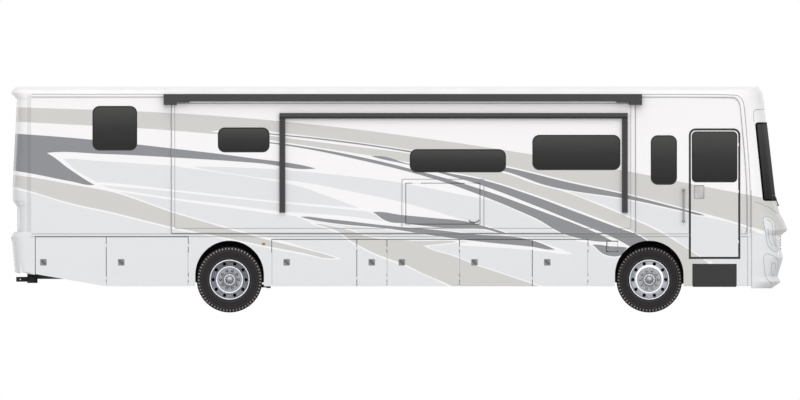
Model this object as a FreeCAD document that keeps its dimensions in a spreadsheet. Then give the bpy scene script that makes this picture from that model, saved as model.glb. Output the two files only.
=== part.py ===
# Class A motorhome, 12 m long, built from separate panels, doors, axles and wheels.
# Frame: X forward, Y to the left side, Z up, ground at Z = 0, origin under the middle of the coach.
# The right side, with the entry door and the slide-out room, faces -Y.
import FreeCAD, Part
import math
import os
from types import SimpleNamespace

import Sketcher

V = FreeCAD.Vector

SIZES = {
    # whole coach
    "overall_length": 12039,
    "body_width": 2540,
    "roof_height": 3503,
    "skirt_bottom": 406,
    "rear_overhang": 3396,
    "wheelbase": 6505,
    # clearances, and how far a cutting tool runs past what it cuts
    "panel_gap": 10,
    "glass_gap": 0.3,
    "pin_gap": 0.4,
    "seat_gap": 0.3,
    "tool_over": 60,
    "weld_lap": 2,
    "bore_gap": 4,
    # walls, rail and belt
    "wall_thick": 38,
    "skirt_thick": 30,
    "drip_drop": 113,
    "drip_band": 46,
    "drip_stand": 12,
    "drip_bend": 160,
    "belt_top": 1218,
    "belt_band": 40,
    "belt_stand": 10,
    "lower_rail": 40,
    "glass_thick": 8,
    # roof
    "roof_thick": 60,
    "roof_lap": 50,
    "eave_drop": 31,
    "eave_radius": 80,
    "crown_radius": 12000,
    # front cap, setbacks from the nose
    "front_cap_depth": 566,
    "front_cap_shoulder": 694,
    "front_cap_knee": 2130,
    "front_roof_setback": 906,
    "cap_skin": 30,
    "brow_setback": 395,
    "brow_radius": 250,
    "screen_head_setback": 304,
    "screen_head_drop": 555,
    "screen_foot_setback": 163,
    "screen_foot": 1728,
    "screen_side_top": 502,
    "screen_side_foot": 376,
    "screen_corner": 45,
    "recess_setback": 538,
    "recess_high": 205,
    "recess_corner": 60,
    "hood_setback": 99,
    "hood_height": 1522,
    "nose_top_setback": 44,
    "nose_top": 1428,
    "nose_height": 1279,
    "nose_overshoot": 15,
    "nose_radius": 30,
    "bumper_setback": 84,
    "bumper_top": 1197,
    "bumper_mid": 960,
    "bulge_setback": 51,
    "bulge_height": 855,
    "bulge_radius": 60,
    "air_dam_setback": 138,
    "air_dam_height": 560,
    "lip_setback": 87,
    "lip_height": 477,
    "lip_radius": 25,
    "cap_bottom": 374,
    "cap_bottom_setback": 230,
    "nose_crown": 90,
    "nose_crown_radius": 8000,
    "front_corner": 300,
    "corner_taper": 20,
    # front lamps and grille
    "headlamp_rear": 374,
    "headlamp_front": 190,
    "headlamp_top": 1482,
    "headlamp_bevel_setback": 287,
    "headlamp_shoulder": 1400,
    "headlamp_mid": 1074,
    "headlamp_tip": 877,
    "headlamp_tip_setback": 113,
    "headlamp_foot": 987,
    "headlamp_foot_setback": 265,
    "headlamp_heel": 1063,
    "headlamp_heel_setback": 315,
    "headlamp_bend": 40,
    "fog_out": 1170,
    "fog_wide": 110,
    "fog_foot": 563,
    "fog_high": 206,
    "fog_corner": 30,
    "grille_half": 470,
    "grille_foot": 975,
    "grille_head": 1182,
    "grille_corner": 30,
    "grille_border": 24,
    "grille_bar": 20,
    "grille_slots": 4,
    # rear cap, setbacks from the tail
    "rear_cap_depth": 313,
    "rear_corner": 170,
    "tail_crown": 40,
    "tail_crown_radius": 9000,
    "tail_roof_setback": 135,
    "lip_edge_drop": 96,
    "lip_under_drop": 203,
    "lip_under_setback": 97,
    "tail_bulge_setback": 30,
    "tail_bulge": 1945,
    "tail_step": 1740,
    "tail_step_setback": 34,
    "tail_ledge": 1640,
    "tail_ledge_setback": 101,
    "fascia_top": 1249,
    "fascia_top_setback": 50,
    "fascia_crest": 1178,
    "fascia_crest_setback": 11,
    "fascia_foot": 626,
    "fascia_foot_setback": 68,
    "fascia_bottom": 567,
    "tail_lamp_out": 1130,
    "tail_lamp_wide": 210,
    "tail_lamp_foot": 1310,
    "tail_lamp_high": 280,
    "tail_lamp_corner": 40,
    # engine door
    "engine_door_half": 620,
    "engine_door_rise": 60,
    "engine_door_drop": 20,
    "engine_hinge_in": 480,
    "louvre_half": 470,
    "louvre_high": 14,
    "louvre_pitch": 58,
    "louvres": 6,
    # baggage doors, from the tail forward
    "tail_panel": 384,
    "bay_1": 1100,
    "bay_2": 1271,
    "rear_arch_panel": 1294,
    "bay_3": 1319,
    "bay_4": 466,
    "bay_5": 1125,
    "bay_6": 1129,
    "bay_7": 863,
    "door_thick": 38,
    "hinge_barrel": 45,
    "hinge_radius": 4,
    "hinge_arm": 6,
    "hinge_leaf": 4,
    "hinge_inset": 60,
    "tail_slope_rise": 190,
    "bay_floor_top": 446,
    "bay_floor_thick": 26,
    "bulkhead_thick": 12,
    "bay_inset": 48,
    "rear_bay_inner": 90,
    "rear_bay_floor_rise": 20,
    # flush latches
    "latch_setback": 232,
    "tail_latch_setback": 126,
    "latch_height": 778,
    "latch_size": 92,
    "latch_deep": 10,
    "latch_border": 12,
    "latch_paddle": 7,
    "entry_latch_setback": 160,
    "entry_latch_height": 1868,
    "entry_latch_wide": 152,
    "entry_latch_high": 204,
    # wheel arches and wheels
    "arch_radius": 532,
    "arch_height": 581,
    "tyre_radius": 510,
    "tyre_width": 280,
    "tyre_shoulder": 42,
    "tyre_bulge": 95,
    "tyre_bulge_radius": 60,
    "tread_inset": 14,
    "rim_radius": 308,
    "rim_lip": 14,
    "rim_wide": 236,
    "wheel_offset": 162,
    "disc_thick": 22,
    "disc_slope": 78,
    "disc_bend": 30,
    "disc_seat": 22,
    "disc_deep": 38,
    "front_track": 2060,
    "twin_track": 1896,
    "hub_radius": 104,
    "hub_step": 12,
    "hub_taper": 40,
    "hub_cap_radius": 72,
    "hub_cap_edge": 6,
    "front_hub_in": 110,
    "front_hub_out": 36,
    "rear_hub_in": 130,
    "rear_hub_out": 200,
    "hand_hole_circle": 255,
    "hand_hole_radius": 27,
    "hand_holes": 10,
    "drum_radius": 205,
    "drum_wall": 15,
    "front_drum_in": 205,
    "rear_drum_in": 215,
    # front axle and steering
    "spindle_radius": 32,
    "spindle_out": 14,
    "beam_half": 38,
    "kingpin_track": 1720,
    "kingpin_radius": 20,
    "kingpin_boss": 42,
    "kingpin_boss_half": 80,
    "kingpin_half": 122,
    "yoke_gap": 5,
    "yoke_clear": 8,
    "yoke_half": 45,
    "yoke_reach": 78,
    "yoke_web_half": 60,
    "steering_arm": 200,
    "steering_arm_half": 24,
    "steering_arm_thick": 30,
    "stud_radius": 10,
    "tie_rod_radius": 17,
    "tie_rod_drop": 24,
    "tie_end_radius": 24,
    "tie_end_half": 19,
    # rear axle
    "axle_tube": 62,
    "axle_end": 88,
    "banjo_radius": 195,
    "banjo_rear": 190,
    "banjo_front": 140,
    "pinion_radius": 95,
    "pinion_reach": 330,
    "backing_in": 240,
    "backing_radius": 120,
    "backing_thick": 14,
    # air springs and links
    "spring_track": 782,
    "spring_radius": 105,
    "spring_seat_radius": 70,
    "spring_seat_high": 80,
    "spring_plate_half": 90,
    "spring_plate_thick": 16,
    "link_radius": 25,
    "link_long": 612,
    "hanger_long": 80,
    "hanger_half": 34,
    "rear_seat_half": 420,
    "rear_seat_wide": 45,
    "rear_seat_deep": 70,
    "rear_spring_out": 330,
    "rear_link_long": 150,
    # wheel wells
    "well_half": 625,
    "well_knee": 700,
    "well_foot_rise": 60,
    "well_crown_half": 330,
    "well_skin": 6,
    "well_reveal": 2,
    "well_notch": 130,
    "well_inner": 505,
    "rear_well_inner": 560,
    "rear_well_gap": 14,
    # frame and floor
    "floor_top": 1228,
    "floor_thick": 50,
    "floor_tail_lap": 140,
    "frame_track": 860,
    "frame_deep": 250,
    "frame_flange": 78,
    "frame_web": 9,
    "frame_nose_setback": 420,
    "frame_tail_setback": 260,
    "member_behind": 1100,
    "member_ahead": 800,
    "member_beside": 500,
    "member_wide": 90,
    "member_rise": 60,
    "member_drop": 40,
    # hitch receiver
    "receiver_size": 76,
    "receiver_bore": 51.6,
    "receiver_drop": 90,
    "receiver_inset": 20,
    "receiver_pin_setback": 65,
    "receiver_pin_radius": 8.2,
    "hitch_bar_half": 500,
    "hitch_bar_size": 100,
    "hitch_hanger_thick": 12,
    "hitch_hanger_long": 160,
    # engine, gearbox, shaft and tank
    "engine_setback": 130,
    "engine_long": 1080,
    "engine_foot": 520,
    "engine_side_gap": 8,
    "engine_top_gap": 12,
    "engine_mount_wide": 80,
    "engine_mount_high": 60,
    "gearbox_long": 620,
    "gearbox_radius": 190,
    "gearbox_height": 700,
    "shaft_radius": 45,
    "shaft_rise": 60,
    "flange_radius": 82,
    "flange_thick": 20,
    "flange_drop": 30,
    "tank_half": 900,
    "tank_foot": 480,
    "tank_gap": 20,
    # slide-out room
    "slide_setback": 2492,
    "slide_long": 7195,
    "slide_head_drop": 217,
    "slide_lap": 60,
    "slide_gap": 12,
    "slide_flange": 20,
    "slide_stand": 6,
    "slide_depth": 850,
    "slide_wall": 38,
    "slide_shoe_long": 120,
    "slide_shoe_deep": 40,
    "slide_shoe_inset": 900,
    # entry door
    "entry_setback": 727,
    "entry_wide": 798,
    "entry_foot": 831,
    "entry_head_drop": 650,
    "entry_corner": 105,
    "entry_frame": 22,
    "entry_gap": 10,
    "entry_stand": 4,
    "entry_glass_margin": 20,
    "entry_glass_foot": 2024,
    "entry_glass_corner": 60,
    "entry_hinge_low": 200,
    "entry_hinge_mid": 980,
    "entry_hinge_drop": 320,
    # step and the well behind the entry door
    "step_wide": 668,
    "step_top": 745,
    "step_foot": 396,
    "step_deep": 300,
    "step_face": 16,
    "step_tread": 30,
    "step_cheek": 12,
    "step_guide": 40,
    "step_guide_inset": 60,
    "well_margin": 40,
    "well_reach": 700,
    "well_wall": 14,
    "well_drop": 26,
    "inner_step_deep": 330,
    "inner_step_high": 190,
    # windows: distance of the rear edge from the tail, width, height and drop below the roof
    "window_corner": 100,
    "window_1_setback": 1279,
    "window_1_wide": 676,
    "window_1_high": 673,
    "window_1_drop": 310,
    "window_2_setback": 3222,
    "window_2_wide": 784,
    "window_2_high": 369,
    "window_2_drop": 643,
    "window_3_setback": 6197,
    "window_3_wide": 1474,
    "window_3_high": 342,
    "window_3_above_hatch": 117,
    "window_4_setback": 8097,
    "window_4_wide": 1347,
    "window_4_high": 529,
    "window_4_drop": 758,
    "window_5_setback": 9933,
    "window_5_wide": 389,
    "window_5_high": 750,
    "window_5_drop": 764,
    # awnings
    "topper_rear_over": 119,
    "topper_front_over": 102,
    "topper_drop": 116,
    "topper_high": 114,
    "topper_deep": 100,
    "topper_end": 205,
    "topper_step": 400,
    "bracket_high": 171,
    "bracket_step_high": 136,
    "bracket_stand": 6,
    "awning_setback": 4168,
    "awning_wide": 5399,
    "awning_drop": 411,
    "awning_tube": 44,
    "awning_arm": 91,
    "awning_arm_deep": 52,
    "awning_groove": 35,
    "awning_groove_deep": 14,
    "awning_foot": 1547,
    # service hatch
    "hatch_setback": 6068,
    "hatch_wide": 1268,
    "hatch_foot": 1311,
    "hatch_high": 753,
    "hatch_frame": 54,
    "hatch_gap": 10,
    "hatch_depth": 170,
    "hatch_wall": 12,
    "hatch_stand": 8,
    "hatch_thick": 30,
    "hatch_hinge_inset": 160,
    # fuel door and handles
    "fuel_setback": 9234,
    "fuel_wide": 186,
    "fuel_foot": 938,
    "fuel_high": 174,
    "fuel_thick": 8,
    "fuel_hinge_rise": 20,
    "grab_setback": 10432,
    "grab_foot": 1392,
    "grab_head": 1925,
    "grab_radius": 14,
    "grab_ball": 26,
    "grab_post": 11,
    "grab_stand": 60,
    # dashboard and steering wheel
    "dash_reach": 250,
    "dash_deep": 520,
    "dash_foot_deep": 420,
    "dash_overhang": 40,
    "dash_front_height": 1620,
    "dash_height": 1700,
    "dash_lip": 1560,
    "dash_bend": 30,
    "dash_side_gap": 190,
    "wheel_setback": 760,
    "wheel_height": 1600,
    "wheel_aside": 600,
    "wheel_ring": 215,
    "wheel_grip": 15,
    "column_radius": 32,
    "column_long": 260,
    # seats
    "seat_long": 520,
    "seat_half": 260,
    "seat_front_gap": 20,
    "seat_driver_setback": 1120,
    "seat_base_half": 180,
    "seat_base_long": 380,
    "seat_foot": 1560,
    "seat_top": 1700,
    "seat_edge": 50,
    "back_head": 2200,
    "back_thick": 130,
    "back_lean": 120,
    "headrest_half": 150,
    "headrest_high": 150,
    "headrest_gap": 20,
    "armrest_high": 1900,
    "armrest_thick": 45,
    "armrest_long": 380,
}

doc = FreeCAD.newDocument("motorhome")
sheet = doc.addObject("Spreadsheet::Sheet", "sizes")
for row, (alias, number) in enumerate(SIZES.items(), 1):
    sheet.set(f"A{row}", alias)
    sheet.set(f"B{row}", str(number))
    sheet.setAlias(f"B{row}", alias)
doc.recompute()


class Size:
    """A length that knows its number and the sheet expression that gives it."""

    def __init__(self, number, text):
        self.number = float(number)
        self.text = text

    def __add__(self, other):
        other = size(other)
        return Size(self.number + other.number, f"({self.text} + {other.text})")

    def __sub__(self, other):
        other = size(other)
        return Size(self.number - other.number, f"({self.text} - {other.text})")

    def __mul__(self, other):
        other = size(other)
        return Size(self.number * other.number, f"({self.text} * {other.text})")

    def __truediv__(self, other):
        other = size(other)
        return Size(self.number / other.number, f"({self.text} / {other.text})")

    def __neg__(self):
        return Size(-self.number, f"(-1 * {self.text})")

    def __radd__(self, other):
        return size(other) + self

    def __rsub__(self, other):
        return size(other) - self

    def __rmul__(self, other):
        return size(other) * self


def size(value):
    """Wrap a plain number so that it can join an expression."""
    if isinstance(value, Size):
        return value
    return Size(value, repr(float(value)))


def root(value):
    """Square root of a size."""
    return Size(math.sqrt(value.number), f"sqrt({value.text})")


d = SimpleNamespace(**{alias: Size(number, f"sizes.{alias}") for alias, number in SIZES.items()})

# Stations and planes that many pieces share
nose = d.overall_length / 2
tail = -nose
side = d.body_width / 2
wall_in = side - d.wall_thick
skirt_in = side - d.skirt_thick
rear_axle_x = tail + d.rear_overhang
front_axle_x = rear_axle_x + d.wheelbase
wall_rear = tail + d.rear_cap_depth
wall_front = nose - d.front_cap_depth
roof_front = nose - d.front_roof_setback
belt_foot = d.belt_top - d.belt_band
floor_foot = d.floor_top - d.floor_thick
frame_foot = floor_foot - d.frame_deep
frame_out = d.frame_track / 2
gap = d.panel_gap / 2

# Heights that follow the roof line, and the head of the service hatch
drip_top = d.roof_height - d.drip_drop
eave_height = d.roof_height - d.eave_drop
screen_head = d.roof_height - d.screen_head_drop
entry_head = d.roof_height - d.entry_head_drop
hatch_head = d.hatch_foot + d.hatch_high

nodes = []


def bind(item, path, value):
    """Drive one property of an object from the sheet."""
    item.setExpression(path, size(value).text)


def node(item, label):
    """Name a finished sub-part; the label also names its file."""
    item.Label = label
    nodes.append(item)
    return item


def draw(sketch, corners, closed=True):
    """Draw an outline whose corners (u, v, radius) are bound to the sheet."""
    count = len(corners)
    spots = [V(size(c[0]).number, size(c[1]).number, 0) for c in corners]
    radii = [size(c[2]) if len(c) > 2 else size(0) for c in corners]
    turned = [closed or 0 < i < count - 1 for i in range(count)]
    ends = list(spots)
    starts = list(spots)
    for i in range(count):
        if turned[i] and radii[i].number > 0:
            back = (spots[i - 1] - spots[i]).normalize()
            ahead = (spots[(i + 1) % count] - spots[i]).normalize()
            reach = radii[i].number / math.tan(back.getAngle(ahead) / 2)
            ends[i] = spots[i] + back * reach
            starts[i] = spots[i] + ahead * reach
    lines = []
    for i in range(count if closed else count - 1):
        after = (i + 1) % count
        lines.append(sketch.addGeometry(Part.LineSegment(starts[i], ends[after])))
    rules = []
    drives = []
    for i in range(count):
        before = lines[i - 1]
        held, point = (lines[i], 1) if i < len(lines) else (before, 2)
        if turned[i] and radii[i].number > 0:
            back = (ends[i] - spots[i]).normalize()
            ahead = (starts[i] - spots[i]).normalize()
            half = back.getAngle(ahead) / 2
            centre = spots[i] + (back + ahead).normalize() * (radii[i].number / math.sin(half))
            first = ends[i] - centre
            last = starts[i] - centre
            left = first.cross(last).z > 0
            begin, finish = (first, last) if left else (last, first)
            angle = math.atan2(begin.y, begin.x)
            sweep = begin.getAngle(finish)
            circle = Part.Circle(centre, V(0, 0, 1), radii[i].number)
            arc = sketch.addGeometry(Part.ArcOfCircle(circle, angle, angle + sweep))
            mark = sketch.addGeometry(Part.Point(spots[i]), True)
            rules.append(Sketcher.Constraint("Tangent", before, 2, arc, 1 if left else 2))
            rules.append(Sketcher.Constraint("Tangent", arc, 2 if left else 1, lines[i], 1))
            drives.append((len(rules), radii[i]))
            rules.append(Sketcher.Constraint("Radius", arc, radii[i].number))
            rules.append(Sketcher.Constraint("PointOnObject", mark, 1, before))
            rules.append(Sketcher.Constraint("PointOnObject", mark, 1, lines[i]))
            held, point = mark, 1
        elif turned[i]:
            rules.append(Sketcher.Constraint("Coincident", before, 2, lines[i], 1))
        for axis, value in (("DistanceX", corners[i][0]), ("DistanceY", corners[i][1])):
            drives.append((len(rules), size(value)))
            rules.append(Sketcher.Constraint(axis, -1, 1, held, point, size(value).number))
    first_rule = sketch.ConstraintCount
    sketch.addConstraint(rules)
    for index, value in drives:
        sketch.setExpression(f"Constraints[{first_rule + index}]", value.text)


def rect(low_u, high_u, low_v, high_v, radius=0):
    """Corners of a rectangle, all with one radius."""
    return [(low_u, low_v, radius), (high_u, low_v, radius),
            (high_u, high_v, radius), (low_u, high_v, radius)]


def sketch_on(body, role, name, lift, loops, closed=True):
    """Make a sketch on one of the body's own planes, lifted along its normal."""
    sketch = body.newObject("Sketcher::SketchObject", name)
    plane = [f for f in body.Origin.OriginFeatures if f.Role == role][0]
    sketch.AttachmentSupport = [(plane, "")]
    sketch.MapMode = "FlatFace"
    bind(sketch, "AttachmentOffset.Base.z", lift)
    for corners in loops:
        draw(sketch, corners, closed)
    return sketch


def padded(name, role, lift, length, loops):
    """A body made by padding a sketch whose inner loops are holes."""
    body = doc.addObject("PartDesign::Body", name)
    sketch = sketch_on(body, role, name + "_outline", lift, loops)
    pad = body.newObject("PartDesign::Pad", name + "_pad")
    pad.Profile = sketch
    bind(pad, "Length", length)
    return body


def upright(name, low_y, high_y, *loops):
    """A panel drawn in side view, as thick as low_y to high_y."""
    return padded(name, "XZ_Plane", -size(high_y), size(high_y) - low_y, loops)


def level(name, low_z, high_z, *loops):
    """A plate drawn in plan, as thick as low_z to high_z."""
    return padded(name, "XY_Plane", size(low_z), size(high_z) - low_z, loops)


def across(name, low_x, high_x, *loops):
    """A section drawn in end view and run from low_x to high_x."""
    return padded(name, "YZ_Plane", size(low_x), size(high_x) - low_x, loops)


def block(name, low_x, high_x, low_y, high_y, low_z, high_z):
    """A plain box between three pairs of planes."""
    box = doc.addObject("Part::Box", name)
    for axis, edge, low, high in (("x", "Length", low_x, high_x), ("y", "Width", low_y, high_y),
                                  ("z", "Height", low_z, high_z)):
        bind(box, edge, size(high) - low)
        bind(box, f"Placement.Base.{axis}", low)
    return box


TURNS = {"x": FreeCAD.Rotation(V(0, 1, 0), 90), "y": FreeCAD.Rotation(V(1, 0, 0), -90),
         "z": FreeCAD.Rotation()}


def rod(name, axis, start, radius, length):
    """A round bar from its start point along +x, +y or +z."""
    bar = doc.addObject("Part::Cylinder", name)
    bar.Placement = FreeCAD.Placement(V(), TURNS[axis])
    bind(bar, "Radius", radius)
    bind(bar, "Height", length)
    for letter, value in zip("xyz", start):
        bind(bar, f"Placement.Base.{letter}", value)
    return bar


def fuse(name, *shapes):
    """Join shapes into one solid."""
    joined = doc.addObject("Part::MultiFuse", name)
    joined.Shapes = list(shapes)
    joined.Refine = True
    return joined


def group(name, *shapes):
    """Keep solids that don't touch together in one sub-part."""
    kept = doc.addObject("Part::Compound", name)
    kept.Links = list(shapes)
    return kept


def cut(name, base, *tools):
    """Take the tools away from the base."""
    left = doc.addObject("Part::Cut", name)
    left.Base = base
    left.Tool = tools[0] if len(tools) == 1 else fuse(name + "_tools", *tools)
    return left


def common(name, base, tool):
    """Keep what two shapes share."""
    kept = doc.addObject("Part::Common", name)
    kept.Base = base
    kept.Tool = tool
    return kept


def turned_about_y(name, centre, loops):
    """Revolve sections (u along Y, v the radius) about a wheel's axis."""
    body = doc.addObject("PartDesign::Body", name)
    sketch = sketch_on(body, "YZ_Plane", name + "_section", 0, loops)
    spin = body.newObject("PartDesign::Revolution", name + "_spin")
    spin.Profile = sketch
    spin.ReferenceAxis = (sketch, ["H_Axis"])
    spin.Angle = 360
    for letter, value in zip("xyz", centre):
        bind(body, f"Placement.Base.{letter}", value)
    return body


def hinge(name, axis, start, fixed_arm, moving_arm):
    """Three short barrels in line; the middle one moves. Arms are spans across the axis."""
    still = []
    moving = []
    along = "xyz".index(axis)
    for n in range(3):
        place = list(start)
        place[along] = place[along] + d.hinge_barrel * n
        length = d.hinge_barrel - d.seat_gap
        spans = list(moving_arm if n == 1 else fixed_arm)
        edges = []
        for letter in range(3):
            low, high = (size(0), length) if letter == along else spans.pop(0)
            edges += [place[letter] + low, place[letter] + high]
        pieces = moving if n == 1 else still
        pieces.append(rod(f"{name}_barrel_{n}", axis, place, d.hinge_radius, length))
        pieces.append(block(f"{name}_arm_{n}", *edges))
    return still, moving


def ordered(*values):
    """Planes in rising order."""
    return sorted((size(value) for value in values), key=lambda value: value.number)


def window(index):
    """Edges of one window as rear, front, foot, head. The third one stands over the service hatch."""
    rear = tail + getattr(d, f"window_{index}_setback")
    high = getattr(d, f"window_{index}_high")
    if index == 3:
        foot = hatch_head + d.window_3_above_hatch
    else:
        foot = d.roof_height - getattr(d, f"window_{index}_drop") - high
    return rear, rear + getattr(d, f"window_{index}_wide"), foot, foot + high


def opening(index, inset=0):
    """Rounded outline of a window, inset for its glass."""
    rear, front, foot, head = window(index)
    return rect(rear + inset, front - inset, foot + inset, head - inset, d.window_corner - inset)


def joint_line(inset=0):
    """The cap joint in side view: the front edge of the walls, rounded at the top."""
    return [(wall_front - inset, d.front_cap_knee),
            (nose - d.front_cap_shoulder - inset, drip_top - inset, d.drip_bend - inset)]


# Walls from the belt up to the drip rail
slide_rear = tail + d.slide_setback
slide_front = slide_rear + d.slide_long
slide_foot = d.belt_top + d.slide_stand
slide_head = d.roof_height - d.slide_head_drop
entry_front = nose - d.entry_setback
entry_rear = entry_front - d.entry_wide


def doorway(inset=0):
    """Outline of the entry: rounded at the head, square at the foot."""
    return [(entry_rear + inset, d.entry_foot + inset), (entry_front - inset, d.entry_foot + inset),
            (entry_front - inset, entry_head - inset, d.entry_corner - inset),
            (entry_rear + inset, entry_head - inset, d.entry_corner - inset)]


def wall_outline(inset=0):
    """Side view of a wall, its top front corner rounded along the cap joint."""
    return [(wall_rear, belt_foot), (wall_front - inset, belt_foot)] + joint_line(inset) + [
        (wall_rear, drip_top - inset)]


def wall(label, sign, holes, door):
    """One side wall with its belt moulding and drip rail."""
    sheet_panel = upright(label + "_panel", *ordered(side * sign, wall_in * sign), wall_outline(), *holes)
    rail_planes = ordered(side * sign, (side + d.drip_stand) * sign)
    rail_full = upright(label + "_rail_full", *rail_planes, wall_outline())
    rail_core = upright(label + "_rail_core", *rail_planes,
                        [(wall_rear - d.tool_over, belt_foot - d.tool_over),
                         (wall_front - d.drip_band, belt_foot - d.tool_over)]
                        + joint_line(d.drip_band) + [(wall_rear - d.tool_over, drip_top - d.drip_band)])
    rail = cut(label + "_rail", rail_full, rail_core)
    belt = block(label + "_belt", wall_rear, wall_front - d.drip_band,
                 *ordered(side * sign, (side + d.belt_stand) * sign), belt_foot, d.belt_top)
    whole = fuse(label + "_whole", sheet_panel, rail, belt)
    if door:
        whole = cut(label + "_doorway", whole, door)
    return node(whole, label)


slide_hole = rect(slide_rear + d.slide_lap, slide_front - d.slide_lap,
                  slide_foot + d.slide_lap, slide_head - d.slide_lap)
door_tool = upright("entry_hole", -(side + d.tool_over), -(wall_in - d.tool_over), doorway())
wall("wall_right", -1, [opening(1), opening(5), slide_hole], door_tool)


def left_window(rear, wide, twin, inset=0):
    """Outline of a left window with the foot and head of one on the right."""
    foot, head = window(twin)[2:]
    return rect(rear + inset, rear + wide - inset, foot + inset, head - inset, d.window_corner - inset)


LEFT_WINDOWS = [
    (tail + d.window_1_setback, d.window_1_wide, 1),
    (tail + d.window_2_setback, d.window_3_wide, 4),
    (tail + d.window_3_setback, d.window_3_wide, 4),
    (tail + d.window_4_setback, d.window_4_wide, 4),
    (entry_rear, d.entry_wide - d.drip_band, 5),
]
wall("wall_left", 1, [left_window(*place) for place in LEFT_WINDOWS], None)

# Window glass of both walls, flush in the openings
glass_in = side - d.glass_thick
panes = [upright(f"glass_{n}", -side, -glass_in, opening(n, d.glass_gap)) for n in (1, 5)]
for n, place in enumerate(LEFT_WINDOWS, 1):
    panes.append(upright(f"glass_left_{n}", glass_in, side, left_window(*place, d.glass_gap)))
node(group("wall_glass", *panes), "wall_windows")

# Roof: a crowned sheet between the caps, with rounded eaves
crown_slope = d.eave_drop / side
crown_peak = d.roof_height + d.crown_radius * (root(1 + crown_slope * crown_slope) - 1)


def roof_section(foot, inset=0):
    """End view of everything under the roof line."""
    half = side - inset
    return [(-half, foot), (half, foot), (half, eave_height - inset, d.eave_radius - inset),
            (0, crown_peak - inset, d.crown_radius),
            (-half, eave_height - inset, d.eave_radius - inset)]


roof_solid = across("roof_solid", wall_rear, roof_front, roof_section(drip_top))
roof_room = across("roof_room", wall_rear - d.tool_over, roof_front + d.tool_over,
                   roof_section(drip_top - d.roof_lap, d.roof_thick))
node(cut("roof", roof_solid, roof_room), "coach_roof")


def carried(name, profile, path, half):
    """Sweep a side-view profile, without turning it, along a plan path that starts at Y = -half."""
    body = doc.addObject("PartDesign::Body", name)
    shape = sketch_on(body, "XZ_Plane", name + "_profile", half, [profile])
    route = sketch_on(body, "XY_Plane", name + "_path", 0, [path], closed=False)
    doc.recompute()
    pipe = body.newObject("PartDesign::AdditivePipe", name + "_sweep")
    pipe.Profile = shape
    pipe.Spine = (route, [])
    pipe.Mode = "Fixed"
    pipe.Transition = "Right corner"
    return body


def front_profile(reach, inset):
    """Side view of the front at the centre plane, shifted back by reach for the path's start."""
    def at(setback, height, *radius):
        return (nose - setback - inset - reach, height, *radius)
    top = d.roof_height + d.tool_over - inset
    return [at(d.front_roof_setback, top), at(d.brow_setback, top, d.brow_radius),
            at(d.screen_head_setback, screen_head), at(d.screen_foot_setback, d.screen_foot),
            at(d.hood_setback, d.hood_height), at(d.nose_top_setback, d.nose_top),
            at(-d.nose_overshoot, d.nose_height, d.nose_radius), at(d.bumper_setback, d.bumper_top),
            at(d.bumper_setback, d.bumper_mid), at(d.bulge_setback, d.bulge_height, d.bulge_radius),
            at(d.air_dam_setback, d.air_dam_height), at(d.lip_setback, d.lip_height, d.lip_radius),
            at(d.cap_bottom_setback, d.cap_bottom), at(d.front_roof_setback, d.cap_bottom)]


def front_path(reach, inset):
    """Plan curve of the front: crowned nose, rounded corners, sides that taper a little."""
    half = side - inset
    rise = d.nose_crown / side
    peak = d.nose_crown_radius * (root(1 + rise * rise) - 1)
    return [(nose - reach, -half), (nose - d.nose_crown, -(half - d.corner_taper), d.front_corner),
            (nose + peak, 0, d.nose_crown_radius),
            (nose - d.nose_crown, half - d.corner_taper, d.front_corner), (nose - reach, half)]


def front_solid(name, inset):
    """The front's outer form, inset evenly, ahead of the cap joint and under the roof line."""
    reach = d.front_roof_setback
    swept = carried(name + "_form", front_profile(reach, inset), front_path(reach, inset), side - inset)
    under = across(name + "_under", roof_front - reach * 2, nose + d.tool_over,
                   roof_section(d.cap_bottom - d.tool_over, inset))
    return common(name + "_top", swept, under)


def over_coach(name, corners):
    """A side-view outline run across the whole coach, as a cutting tool."""
    return upright(name, -(side + d.tool_over), side + d.tool_over, corners)


behind_rear = roof_front - 2 * d.front_roof_setback
behind_joint = [(behind_rear, d.cap_bottom - d.tool_over), (wall_front, d.cap_bottom - d.tool_over)]
behind_joint += joint_line() + [(roof_front, drip_top), (roof_front, d.roof_height + d.tool_over * 2),
                                (behind_rear, d.roof_height + d.tool_over * 2)]
screen_prism = [(nose - d.screen_side_top, screen_head, d.screen_corner),
                (nose - d.screen_side_foot, d.screen_foot, d.screen_corner),
                (nose + d.tool_over, d.screen_foot), (nose + d.tool_over, screen_head)]

outer_front = front_solid("front_outer", size(0))
inner_front = front_solid("front_inner", d.cap_skin)
glass_front = front_solid("front_glass", d.glass_thick)
screen_fit = [(u + d.glass_gap, v - d.glass_gap * sign, *rest) for (u, v, *rest), sign in
              zip(screen_prism, (1, -1, -1, 1))]
screen_band = common("screen_band", outer_front, over_coach("screen_keep", screen_fit))
node(cut("screen", screen_band, glass_front), "windshield")


def flush_piece(name, reach):
    """The outermost skin of the nose inside a tool's reach, as thick as the glass."""
    return cut(name, common(name + "_band", outer_front, reach), glass_front)


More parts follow.
